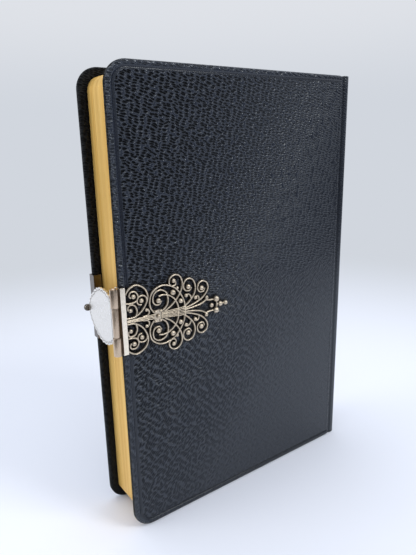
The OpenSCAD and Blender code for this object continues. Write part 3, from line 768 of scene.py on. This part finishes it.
def edge_profile():
    """Inset and depth of each ring from the outer face, over the rounded edge, to the inner face."""
    turns = [math.radians(a) for a in spaced(0, 90, EDGE_STEPS)]
    outer = [(EDGE_R * (1 - math.sin(a)), EDGE_R * (1 - math.cos(a))) for a in turns]
    inner = [(inset, COVER_T - depth) for inset, depth in reversed(outer)]
    return [(JOINT_R, 0.0), (RIM, 0.0)] + outer + inner + [(RIM, COVER_T)]


def edge_rows(place):
    """Rings over the edge. The tooled line runs out over it at the joint."""
    rows = []
    for inset, depth in edge_profile():
        outward = max(0, 1 - depth / (COVER_T / 2))
        row = []
        for x, z in cover_ring(inset):
            groove = line_depth(min(z, COVER_H - z)) * outward if x > COVER_END - JOINT_R - 0.01 else 0
            row.append(place(x, depth + groove, z))
        rows.append(row)
    return rows


def turn_in_rows(place):
    """Rings over the inner face to the edge of the paper, and a last one down beside it."""
    outline = (RIM, COVER_END - RIM, RIM, COVER_H - RIM, FORE_R - RIM, JOINT_R - RIM)
    window = (TURN_IN - PASTE_LAP, PASTE_END + PASTE_LAP, TURN_IN - PASTE_LAP,
              COVER_H - TURN_IN + PASTE_LAP, PASTE_R, PASTE_R)
    rows = []
    for share in spaced(0, 1, 6)[1:]:
        points = ring(*[a + (b - a) * share for a, b in zip(outline, window)])
        row = [place(x, COVER_T, z) for x, z in points]
        if share < 1:
            for i in (HEAD_MITRE, TAIL_MITRE):
                row[i] = place(points[i][0], COVER_T - MITRE_DEPTH, points[i][1])
        rows.append(row)
    return rows + [[place(x, COVER_T - TURN_IN_T, z) for x, z in ring(*window)]]


def build_cover(name, body, node, place):
    """Place turns x, depth and z into a point of the scene, on either side of the book."""
    bm = bmesh.new()
    add_rows(bm, [[place(x, face_depth(x, z), z) for x in GRID_X] for z in GRID_Z])
    add_rows(bm, [[place(x, face_depth(x, z), z) for x, z in u_ring(d)] for d in U_INSETS])
    grid = add_rows(bm, edge_rows(place) + turn_in_rows(place), closed=True)
    bm.faces.new(grid[-1])
    piece = finish_mesh(bm, name, MOROCCO, "leather", body, second=PARED,
                        is_second=lambda x, y, z: PARED_FROM < y < BOOK_T - PARED_FROM)
    paint(piece, "pressed", pressed_at)
    paint(piece, "rubbed", rubbed_at)
    paint_place(piece, "skin", skin_at)
    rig.replaces(piece, node)


def on_clasp_side(x, depth, z):
    return at(x, depth, z)


def on_catch_side(x, depth, z):
    return at(x, BOOK_T - depth, z)


build_cover("clasp_cover_skin", "clasp_cover", "clasp_cover_leather", on_clasp_side)
build_cover("catch_cover_skin", "catch_cover", "catch_cover_leather", on_catch_side)

# %% [markdown]
# The spine is one piece of the same skin, wrapped round the back of the pages. Its plan is a shallow arc
# that ends in two rounded shoulders. A sheet with a Solidify modifier would have square ends, where the
# real leather is turned over at head and tail. So the plan is offset inwards for the thickness, and a half
# circle at each end turns the outer surface into the inner one.

# %% Spine
SHOULDER_R = 2.0
SPINE_RISE = 2.0
LEATHER_T = 0.7
SHOULDER_EDGE_R = 0.45
WALL_END = COVER_T + 0.12
HALF_BACK = MID_Y - SHOULDER_DROP
BACK_R = (HALF_BACK ** 2 + SPINE_RISE ** 2) / (2 * SPINE_RISE)
BACK_CENTRE = BACK_X - BACK_R
TURN_Y = SHOULDER_DROP + SHOULDER_R
TURN_X = BACK_CENTRE + math.sqrt((BACK_R - SHOULDER_R) ** 2 - (MID_Y - TURN_Y) ** 2)
TURN_A = math.degrees(math.atan2(TURN_Y - MID_Y, TURN_X - BACK_CENTRE))
SPINE_PRESSED = 0.5
SPINE_RUB = 0.25
SPINE_RUB_REACH = 3


def arc(centre, radius, start, end, steps):
    angles = [math.radians(a) for a in spaced(start, end, steps)]
    return [(centre[0] + radius * math.cos(a), centre[1] + radius * math.sin(a)) for a in angles]


def spine_plan(depth):
    """The plan of the spine at a depth below its outer surface, from one joint round to the other."""
    corner = max(0.0, SHOULDER_EDGE_R - depth)
    start = max(depth, SHOULDER_EDGE_R)
    half = [(SHOULDER_X + depth, y) for y in spaced(WALL_END, SHOULDER_DROP + start, 3)[:-1]]
    half += arc((SHOULDER_X + start, SHOULDER_DROP + start), corner, 180, 270, 5)
    half += arc((TURN_X, TURN_Y), SHOULDER_R - depth, -90, TURN_A, 9)
    half += arc((BACK_CENTRE, MID_Y), BACK_R - depth, TURN_A, 0, 24)[1:]
    return half + [(x, BOOK_T - y) for x, y in reversed(half[:-1])]


def build_spine():
    end_r = LEATHER_T / 2
    heights = spaced(end_r, COVER_H - end_r, 40)
    turns = [math.radians(a) for a in spaced(0, 180, 8)[1:-1]]
    loop = [(0.0, z) for z in heights]
    loop += [(end_r * (1 - math.cos(a)), COVER_H - end_r + end_r * math.sin(a)) for a in turns]
    loop += [(LEATHER_T, z) for z in reversed(heights)]
    loop += [(end_r * (1 + math.cos(a)), end_r - end_r * math.sin(a)) for a in turns]
    loop.append(loop[0])
    bm = bmesh.new()
    add_rows(bm, [[at(x, y, z) for x, y in spine_plan(depth)] for depth, z in loop])
    piece = finish_mesh(bm, "spine_skin", MOROCCO, "leather", "book_block", fill=True)
    paint(piece, "pressed", lambda x, y, z: SPINE_PRESSED)
    paint(piece, "rubbed", lambda x, y, z: SPINE_RUB * max(0, 1 - min(z, COVER_H - z) / SPINE_RUB_REACH))
    paint_place(piece, "skin", lambda x, y, z: (y + math.copysign(BACK_X - x, y - MID_Y), z))
    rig.replaces(piece, "spine_leather")


build_spine()

# %% [markdown]
# ## Paper
#
# The paper inside the covers is old: a slightly uneven cream, with soft fibres and a few faint brown spots.
# A scan of old paper would look right too, but it would repeat or stretch over the strip that bends. So
# noises of three sizes make the paper. The pasteboard under the leather is the same stuff, only browner.

# %% Paper finishes
def paper_finish(name, tone, stain):
    paper = Finish(name, Roughness=0.85, Specular_IOR_Level=0.2)
    place = paper.place_mm()
    clouds = paper.noise(place, 0.03, 3.0)
    spots = paper.range(paper.noise(place, 0.22, 4.0, 0.6), 0.66, 0.78)
    share = paper.number("MULTIPLY_ADD", spots, 0.35, paper.number("MULTIPLY", clouds, 0.45))
    fibres = paper.noise(paper.stretched(place, (0.4, 0.4, 0.13)), 1.0, 4.0, 0.65)
    return paper.done(Base_Color=paper.blend(share, tone, stain), Normal=paper.bump(fibres, 0.03, 0.6))


ENDPAPER = paper_finish("endpaper_cream", rgb(228, 218, 194), rgb(188, 166, 128))
FLYLEAF = paper_finish("flyleaf", rgb(232, 224, 204), rgb(196, 176, 140))
PASTEBOARD = paper_finish("pasteboard_brown", rgb(158, 132, 96), rgb(120, 96, 66))
print("papers:", ENDPAPER.name, FLYLEAF.name, PASTEBOARD.name)

# %% [markdown] Between each cover and its shoulder the same skin dips into the joint, where the cover
# turns. On the solid model the covers are rigid, so the joint is a piece of its own here. Inside, a strip
# of the endpaper does the same, and opens into a round gutter when a cover swings back.

# %% Joints that bend
JOINT_HALF = 1.15
JOINT_EDGE_DEPTH = 0.42
JOINT_DIP = 0.24
JOINT_SKIN_T = 0.45
PAPER_T = 0.09
PAPER_LIFT = 0.02
PASTED_AT = [COVER_END - inset for inset in (1.9, 1.2, 0.5)]
GUTTER_FROM = COVER_END - 0.1
GUTTER_TO = SHOULDER_X + 0.04
JOINT_PRESSED = 0.6
SKIN_END = 0.3
PAPER_END = PAGES_Z + 0.5


def build_joint(name, body, place, section, finish, slot, end):
    """A strip with the given section in x and depth, which bends from the shoulder to the board."""
    bm = bmesh.new()
    rows = [[place(x, depth, z) for x, depth in section] for z in spaced(end, COVER_H - end, 30)]
    add_rows(bm, rows, closed=True)
    piece = finish_mesh(bm, name, finish, slot, fill=True)
    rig.blend(piece, "book_block", body, place(SHOULDER_X, 0, MID_Z), place(COVER_END, 0, MID_Z))
    return piece


def joint_section():
    """The skin dips to its deepest point over the hinge line, and is as thick as pared leather."""
    xs = spaced(AXIS_X - JOINT_HALF, AXIS_X + JOINT_HALF, 22)
    dips = [0.5 * (1 + math.cos(math.pi * (x - AXIS_X) / JOINT_HALF)) for x in xs]
    outer = [(x, JOINT_EDGE_DEPTH + JOINT_DIP * dip) for x, dip in zip(xs, dips)]
    return outer + [(x, depth + JOINT_SKIN_T) for x, depth in reversed(outer)]


def endpaper_section():
    """The strip lies flat on the board, and is divided closely where it bends."""
    depth = COVER_T + PAPER_LIFT
    xs = PASTED_AT + spaced(GUTTER_FROM, GUTTER_TO, 26)
    return [(x, depth) for x in xs] + [(x, depth + PAPER_T) for x in reversed(xs)]


for side, body, place in (("clasp", "clasp_cover", on_clasp_side), ("catch", "catch_cover", on_catch_side)):
    skin = build_joint(side + "_joint_skin", body, place, joint_section(), MOROCCO, "leather", SKIN_END)
    paint(skin, "pressed", lambda x, y, z: JOINT_PRESSED)
    paint(skin, "rubbed", lambda x, y, z: 0.0)
    paint_place(skin, "skin", skin_at)
    build_joint(side + "_endpaper_hinge", body, place, endpaper_section(), ENDPAPER, "endpaper", PAPER_END)

# %% [markdown]
# ## Pages
#
# The pages' edges are gilt: leaf laid on the cut edges and burnished. Leaf on paper is softer than solid
# gold, so the finish is only partly metallic. Noises stretched along the sheets give fine lines a single
# sheet wide, broader bands of light and dark, and small places where the gold is worn.

# %% Gilt finish
GILT_BRIGHT = rgb(240, 198, 114)
GILT_DEEP = rgb(226, 178, 88)
GILT_WORN = rgb(160, 112, 50)


def gilt_finish():
    gilt = Finish("gilt_edge", Metallic=0.45, Specular_IOR_Level=0.5)
    place = gilt.place_mm()
    sheets = gilt.noise(gilt.stretched(place, (40, 0.12, 40)), 1.0, 3.0, 0.75)
    bands = gilt.noise(gilt.stretched(place, (90, 1.6, 90)), 1.0, 1.0)
    wear = gilt.noise(gilt.stretched(place, (5, 0.3, 5)), 1.0, 4.0, 0.7)
    tone = gilt.blend(gilt.range(bands, 0.25, 0.75), GILT_DEEP, GILT_BRIGHT)
    tone = gilt.blend(gilt.range(wear, 0.6, 0.75, 0.0, 0.5), tone, GILT_WORN)
    tone = gilt.blend(gilt.range(sheets, 0.5, 0.75, 0.0, 0.3), tone, GILT_WORN)
    rough = gilt.range(sheets, 0.3, 0.7, 0.34, 0.5)
    return gilt.done(Base_Color=tone, Roughness=rough, Normal=gilt.bump(sheets, 0.05, 0.5))


GILT = gilt_finish()
print("gilt finish:", GILT.name)

# %% [markdown]
# Thousands of sheets can't be told apart at this size, but small groups of them can: they stand a few
# hundredths of a millimetre proud or shy. Separate sheets would be thousands of pieces. So the block is
# lofted through the book's thickness in thin layers, each layer gets its own small inset, and the lines of
# single sheets are left to the bump of the gilt.

# %% The block of pages
PAGE_FACE = COVER_T + 0.15
PAGE_R = 5.0
PAGE_LAYERS = 66
INSETS = (0.0, 0.02, 0.03, 0.05, 0.07, 0.12)
NECK_X = SHOULDER_X + LEATHER_T
LINING_T = 0.5
PAGES_BACK_R = BACK_R - LEATHER_T - LINING_T
FLARE_Y = SHOULDER_DROP + LEATHER_T + LINING_T
FLARE_RUN = 0.5


def back_of_pages(y):
    return BACK_CENTRE + math.sqrt(PAGES_BACK_R ** 2 - (y - MID_Y) ** 2)


def page_outline(y, inset):
    """The outline of one layer, clockwise from the spine along the tail, fore-edge and head."""
    low_x, low_z = PAGES_X + inset, PAGES_Z + inset
    high_z = COVER_H - PAGES_Z - inset
    back = back_of_pages(y)
    straight = [back, (back + NECK_X) / 2] + spaced(NECK_X + FLARE_RUN, NECK_X, 4)
    straight += spaced(NECK_X, PAGES_X + PAGE_R, 30)[1:]
    tail = [(x, low_z) for x in straight]
    centre_x = PAGES_X + PAGE_R
    radius = PAGE_R - inset
    low = arc((centre_x, PAGES_Z + PAGE_R), radius, 270, 180, 10)[1:-1]
    high = arc((centre_x, COVER_H - PAGES_Z - PAGE_R), radius, 180, 90, 10)[1:-1]
    fore = [(low_x, z) for z in spaced(PAGES_Z + PAGE_R, COVER_H - PAGES_Z - PAGE_R, 50)]
    head = [(x, high_z) for x in reversed(straight)]
    return tail + low + fore + high + head


def flared(x, y):
    """The sheets fan out over the shoulders, past the boards."""
    share = min(1, max(0, (x - NECK_X) / FLARE_RUN))
    share = share * share * (3 - 2 * share)
    widest = MID_Y - FLARE_Y
    return MID_Y + (y - MID_Y) * (1 + share * (widest / (MID_Y - PAGE_FACE) - 1))


def build_pages():
    random.seed(7)
    bm = bmesh.new()
    layers = spaced(PAGE_FACE, BOOK_T - PAGE_FACE, PAGE_LAYERS)
    rows = []
    for i, y in enumerate(layers):
        inset = 0.0 if i in (0, PAGE_LAYERS) else random.choice(INSETS)
        rows.append([at(x, flared(x, y), z) for x, z in page_outline(y, inset)])
    grid = add_rows(bm, rows, closed=True)
    bm.faces.new(grid[0])
    bm.faces.new(grid[-1])
    piece = finish_mesh(bm, "pages", GILT, "gilt_pages", "book_block", sharp=50)
    piece.data.materials.append(FLYLEAF)
    for face in piece.data.polygons:
        if abs(face.normal.y) > 0.9 and len(face.vertices) > 4:
            face.material_index = 1
    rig.replaces(piece, "text_block")


build_pages()

# %% [markdown]
# The headbands are cords sewn over with silk, at the head and the tail of the pages' back. Each turn of the
# thread is a small ridge across the cord. Wound threads would be too fine to see, so a tube with a rippled
# radius gives the sewing.

# %% Headbands
CORD_GAP = 0.05
THREAD_TURNS = 38
STEPS_PER_TURN = 6
CORD_SIDES = 14


def silk_finish():
    silk = Finish("headband_silk", Roughness=0.6, Sheen_Weight=0.3, Sheen_Roughness=0.4)
    place = silk.place_mm()
    tone = silk.blend(silk.noise(place, 1.2, 2.0), rgb(222, 210, 180), rgb(176, 158, 122))
    threads = silk.noise(silk.stretched(place, (0.08, 0.5, 0.08)), 1.0, 3.0)
    return silk.done(Base_Color=tone, Normal=silk.bump(threads, 0.05, 0.5))


SILK = silk_finish()


def build_headband(name, node):
    low, high = [in_mm(corner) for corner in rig.box(node)]
    z = (low.z + high.z) / 2
    cord_r = high.z - z
    path_r = BACK_R - LEATHER_T - CORD_GAP - cord_r
    spread = math.asin((MID_Y - PAGE_FACE) / path_r)
    rows = []
    for share in spaced(0, 1, THREAD_TURNS * STEPS_PER_TURN):
        a = spread * (2 * share - 1)
        ripple = 0.9 + 0.1 * abs(math.cos(math.pi * THREAD_TURNS * share))
        taper = min(1, math.sqrt(max(0.02, min(share, 1 - share) * 30)))
        r = cord_r * ripple * taper
        middle = Vector((BACK_CENTRE + path_r * math.cos(a), MID_Y + path_r * math.sin(a), z))
        outward = Vector((math.cos(a), math.sin(a), 0))
        rows.append([at(*(middle + outward * r * math.cos(b) + Vector((0, 0, r * math.sin(b)))))
                     for b in [math.tau * s / CORD_SIDES for s in range(CORD_SIDES)]])
    bm = bmesh.new()
    add_rows(bm, rows, closed=True)
    piece = finish_mesh(bm, name, SILK, "headband", "book_block", sharp=70, fill=True)
    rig.replaces(piece, node)


build_headband("headband_silk_head", "headband_head")
build_headband("headband_silk_tail", "headband_tail")

# %% [markdown]
# ## Silver
#
# Old silver is bright where it is touched and brown-grey where it isn't. An ambient occlusion node finds the
# recesses, and a noise makes the tarnish cloudy. Tarnish painted on by hand would have to be done again with
# every change of shape. The hasp's plate is rubbed whitest, and the filigree is darkest between its wires.
# The knuckles of the hinge are duller than the plates that they carry.

# %% Silver finishes
BARREL_TONE = rgb(196, 176, 154)
BARREL_BACK = 2.2
HINGE_X = JOINT_AT["hasp_hinge"].x
BARREL_END = 2 * HINGE_X - in_mm(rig.box("hinge_leaf")[0]).x
SCRATCH_MM = (0.25, 0.06, 0.25)
SCRATCH_DEPTH_MM = 0.02
TARNISHED_METAL = 0.45


def silver_finish(name, bright, dull, rough, reach_mm, scratch, barrel=None):
    """Where the hinge barrel belongs to the piece, its axis and the place where it ends make it duller."""
    silver = Finish(name, Specular_IOR_Level=0.5)
    place = silver.place_mm()
    open_share = silver.add("AmbientOcclusion", "AO", {"samples": 8}, {"Distance": reach_mm * MM})
    clouds = silver.noise(place, 0.5, 3.0)
    recess = silver.range(silver.number("MULTIPLY_ADD", clouds, 0.3, open_share), 0.6, 1.0, 1.0, 0.0)
    if barrel:
        axis, end = barrel
        bright = silver.blend(silver.range(silver.axes(place)[axis], end - 0.3, end), BARREL_TONE, bright)
    tone = silver.blend(recess, bright, dull)
    smears = silver.noise(place, 1.2, 3.0, 0.6)
    gloss = silver.number("MULTIPLY_ADD", recess, 0.2, silver.range(smears, 0.3, 0.7, rough, rough + 0.12))
    scratches = silver.noise(silver.stretched(place, SCRATCH_MM, 20), 1.0, 4.0, 0.7)
    metal = silver.range(recess, 0, 1, 1.0, TARNISHED_METAL)
    return silver.done(Base_Color=tone, Metallic=metal, Roughness=gloss,
                       Normal=silver.bump(scratches, SCRATCH_DEPTH_MM, scratch))


HASP_SILVER = silver_finish("hasp_silver", rgb(234, 230, 222), rgb(140, 130, 118), 0.26, 1.0, 0.1,
                            (1, BARREL_BACK))
SILVER = silver_finish("worn_silver", rgb(234, 224, 206), rgb(108, 86, 64), 0.14, 1.8, 0.25, (0, BARREL_END))
# The catch, its bar and nails and the knob take a darker silver: partly tarnish, and partly painted shade for the dark
# surroundings that they mirror.
DARK_SILVER = silver_finish("dark_silver", rgb(112, 106, 98), rgb(84, 66, 48), 0.16, 1.4, 0.2)
FILIGREE = silver_finish("filigree_silver", rgb(214, 200, 178), rgb(48, 36, 26), 0.3, 1.1, 0.1)
print("silver finishes:", HASP_SILVER.name, SILVER.name, DARK_SILVER.name, FILIGREE.name)

# %% [markdown]
# The rest of the clasp, the boards and the pastedowns keep their exact solids, and are only dressed. A cut
# edge of metal is never quite sharp, so a small bevel lets it catch the light. The knuckles are round, but
# their solids come as narrow flat facets. The bevel starts at an angle below the one between two facets, so
# it rounds those as well. As a modifier it leaves the solid's own mesh alone.

# %% Dressing the solids
BEVEL_FROM = 8
BEVELS_MM = {"hasp_plate": 0.15, "hinge_leaf": 0.15, "hinge_pin": 0.05,
             "catch_plate": 0.1, "catch_bar": 0.05, "filigree_rosette": 0.1}
DRESS = (
    (HASP_SILVER, ("hasp_plate",)),
    (SILVER, ("hinge_leaf", "hinge_pin", "leaf_nails")),
    (DARK_SILVER, ("hasp_knob", "catch_plate", "catch_bar", "catch_nails")),
    (FILIGREE, ("filigree_grains", "filigree_rosette", "mount_pins")),
    (PASTEBOARD, ("clasp_board", "catch_board")),
    (ENDPAPER, ("clasp_pastedown", "catch_pastedown", "spine_lining")),
)


def dress(piece, finish):
    for slot in range(max(1, len(piece.material_slots))):
        if slot >= len(piece.material_slots):
            piece.data.materials.append(finish)
        piece.material_slots[slot].link = "OBJECT"
        piece.material_slots[slot].material = finish


def soften(piece, width_mm):
    """Welds the solid's faces together, so that the bevel finds their shared edges, and rounds those."""
    weld = piece.modifiers.new("weld", "WELD")
    weld.merge_threshold = WELD
    bevel = piece.modifiers.new("soft_edges", "BEVEL")
    bevel.width = width_mm * MM
    bevel.segments = 2
    bevel.limit_method = "ANGLE"
    bevel.angle_limit = math.radians(BEVEL_FROM)
    bevel.harden_normals = True


for finish, nodes in DRESS:
    for node in nodes:
        dress(NODES[node], finish)
    print(finish.name, "on", ", ".join(nodes))
for node, width_mm in BEVELS_MM.items():
    soften(NODES[node], width_mm)

# %% [markdown]
# ## Filigree
#
# The filigree is bent from flat wire that stands on edge. The curves could be drawn in the viewport, but a
# bent wire needs only a few points: each one is a smooth curve through points in millimetres from the
# fore-edge and from the mount's middle line. The lower half mirrors the upper half, so only one half is
# written down. The whole mount droops by 2.4 degrees.

# %% Where the wires run
LEAF_LOW, LEAF_HIGH = [in_mm(corner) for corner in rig.box("hinge_leaf")]
CLASP_Z = (LEAF_LOW.z + LEAF_HIGH.z) / 2
MOUNT_ANGLE = 2.4
DROOP = Matrix.Rotation(-math.radians(MOUNT_ANGLE), 2)
LEAF_W = in_mm(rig.box("filigree_lobes")[0]).x
LOBE_WIRES = [
    [(0.6, 1.0), (4.4, 1.2), (7.3, 3.1), (9.0, 5.9), (9.3, 8.3), (8.0, 10.7), (5.0, 12.1),
     (2.4, 11.1), (0.8, 9.0)],
    [(0.6, 6.3), (3.2, 6.1), (5.2, 6.8), (5.6, 8.5), (4.6, 9.9), (3.0, 9.9), (2.4, 8.8), (3.0, 7.9)],
    [(9.1, 6.0), (8.8, 7.4), (7.6, 8.2), (6.0, 7.9), (5.3, 6.6), (5.8, 5.4), (6.9, 5.1)],
    [(4.7, 1.0), (5.2, 3.2), (4.5, 5.0), (3.0, 5.6), (1.9, 4.9), (1.9, 3.6)],
    [(7.4, 0.7), (9.2, 0.9), (9.9, 2.0), (9.3, 3.2)],
]
LOOP_WIRES = [
    [(11.7, 1.5), (10.4, 3.4), (10.1, 5.8), (10.9, 8.3), (13.0, 10.0), (15.6, 10.6), (18.6, 9.9),
     (21.2, 8.2), (23.2, 5.5), (24.3, 2.7), (24.6, -0.3)],
    [(13.6, 6.9), (15.5, 7.2), (18.0, 6.6), (20.2, 4.9), (21.5, 2.4), (21.8, -0.3)],
    [(14.7, 1.3), (16.8, 3.0), (17.4, 5.4), (16.6, 8.0), (14.2, 9.1), (11.9, 8.1), (11.3, 6.0),
     (12.1, 4.3), (13.8, 4.0), (14.7, 5.2)],
    [(16.0, 1.3), (18.6, 2.7), (21.0, 5.0), (22.8, 7.8), (23.3, 10.6), (22.3, 12.9), (20.3, 13.7),
     (18.4, 12.8), (17.9, 11.0), (18.9, 9.8), (20.4, 10.1), (20.5, 11.4)],
]
LEAF_WIRES = [
    [(23.6, 1.2), (26.2, 3.0), (28.4, 5.6), (28.9, 8.3), (27.9, 10.8), (26.0, 11.6), (24.3, 10.7),
     (23.8, 8.9), (24.7, 7.4), (26.4, 7.2), (27.2, 8.3)],
    [(24.2, 0.8), (28.6, 2.0), (32.4, 3.9), (34.4, 6.5), (34.1, 8.8), (32.2, 9.9), (30.4, 9.1),
     (29.9, 7.3), (30.9, 6.0), (32.5, 6.0), (33.0, 7.2)],
    [(24.2, 0.3), (28.6, 0.8), (31.6, 1.4), (33.5, 2.4), (34.3, 3.5)],
    [(27.3, 4.0), (26.6, 5.4), (25.4, 6.1)],
    [(30.6, 2.9), (30.3, 4.3), (29.3, 4.8)],
    [(33.4, 2.6), (35.2, 2.2), (37.4, 2.0), (38.5, 1.3), (38.9, -0.3)],
]
TIP_WIRE = [(38.4, 0.0), (42.8, 0.0)]
print(f"{len(LOBE_WIRES + LOOP_WIRES + LEAF_WIRES)} wires above the middle line, at z {CLASP_Z:.1f} mm")

# %% [markdown]
# The upper edge of the wire was milled, so it glitters. A Blender curve with a bevel would make a plain
# wire, but not the milling, nor an end cut off square against the hinge. So the section of the wire is swept
# along each curve point by point, and a small ripple in its height makes the milling.

# %% The bent wires
WIRE_W = 0.55
WIRE_H = 0.95
WIRE_PITCH = 0.13
MILL_PITCH = 0.45
MILL_DEPTH = 0.04
FOOT_H = 0.08


def smooth_curve(points):
    """A curve through all the points, sampled closely enough for the milling to show."""
    knots = [Vector(p) for p in points]
    knots = [2 * knots[0] - knots[1]] + knots + [2 * knots[-1] - knots[-2]]
    samples = []
    for a, b, c, d in zip(knots, knots[1:], knots[2:], knots[3:]):
        steps = max(2, round((c - b).length / WIRE_PITCH))
        for t in [s / steps for s in range(steps)]:
            samples.append((2 * b + (c - a) * t + (2 * a - 5 * b + 4 * c - d) * t * t
                            + (3 * b - a - 3 * c + d) * t ** 3) / 2)
    return samples + [knots[-2]]


def wire_section(width, height):
    """Half-width and height of the wire's outline, flat below and round on top."""
    r = width / 2
    foot = [(r * 0.9, 0.0), (r, FOOT_H)]
    return foot + arc((0, height - r), r, 0, 180, 6) + [(-across, high) for across, high in reversed(foot)]


def add_wire(bm, points, flip, width=WIRE_W, milling=MILL_DEPTH):
    line = smooth_curve(points)
    rows = []
    run = 0.0
    for i, p in enumerate(line):
        ahead = line[min(i + 1, len(line) - 1)] - line[max(i - 1, 0)]
        side = Vector((-ahead.y, ahead.x)).normalized()
        run += (p - line[i - 1]).length if i else 0.0
        milled = milling * 0.5 * (1 - math.cos(math.tau * run / MILL_PITCH))
        row = []
        for across, high in wire_section(width, WIRE_H - milled):
            x, rise = p + side * across
            spot = DROOP @ Vector((x, flip * rise))
            row.append(at(max(spot.x, LEAF_W), -high, CLASP_Z + spot.y))
        rows.append(row)
    grid = add_rows(bm, rows, closed=True)
    bm.faces.new(grid[0])
    bm.faces.new(grid[-1])


def build_wires(name, node, wires, lone=()):
    bm = bmesh.new()
    for points in wires:
        for flip in (1, -1):
            add_wire(bm, points, flip)
    for points in lone:
        add_wire(bm, points, 1)
    piece = finish_mesh(bm, name, FILIGREE, "filigree_silver", "clasp_cover", sharp=60)
    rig.replaces(piece, node)


build_wires("wires_lobes", "filigree_lobes", LOBE_WIRES)
build_wires("wires_loops", "filigree_loops", LOOP_WIRES)
build_wires("wires_leaves", "filigree_leaves", LEAF_WIRES, [TIP_WIRE])

# %% [markdown]
# A bundle of straight, plain wires runs along the middle. It narrows towards the hinge, passes through the
# rosette that grips it, and fans out behind. The wires could be a grooved bar, but as separate wires they
# leave real dark lines between them.

# %% The bundle along the middle
BUNDLE_WIRE_W = 0.3
GRIPPED = 0.3
ROSETTE_START, ROSETTE_END = [in_mm(corner).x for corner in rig.box("filigree_rosette")]
FAN_END = in_mm(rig.box("filigree_stem")[1]).x
HINGE_HALVES = (0.3, 0.75)
HINGE_COUNT = 4
FAN_HALVES = (0.95, 1.5)
FAN_COUNT = 6


def add_bundle(bm, start, end, halves, count):
    """Wires side by side, between the half widths of the bundle at its two ends."""
    half_start, half_end = halves
    for share in spaced(-1, 1, count - 1):
        line = [(x, share * (half_start + (half_end - half_start) * (x - start) / (end - start)))
                for x in spaced(start, end, 3)]
        add_wire(bm, line, 1, BUNDLE_WIRE_W, milling=0)


def build_bundle():
    bm = bmesh.new()
    add_bundle(bm, LEAF_W / 2, ROSETTE_START + GRIPPED, HINGE_HALVES, HINGE_COUNT)
    add_bundle(bm, ROSETTE_END - GRIPPED, FAN_END, FAN_HALVES, FAN_COUNT)
    piece = finish_mesh(bm, "wires_stem", FILIGREE, "filigree_silver", "clasp_cover", sharp=60)
    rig.replaces(piece, "filigree_stem")


build_bundle()

# %% [markdown] The last step measures the book again. The box of the dressed model can be set against that
# of the construction model, to see how little the finer meshes add.

# %% Hand over
bpy.context.view_layer.update()
new_low, new_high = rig.bounds()
with open("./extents.json", "w") as sizes:
    json.dump({"cad": [list(cad_low), list(cad_high)], "visual": [list(new_low), list(new_high)]}, sizes)
print("CAD box", [round(v / MM, 2) for v in (*cad_low, *cad_high)])
print("visual box", [round(v / MM, 2) for v in (*new_low, *new_high)])
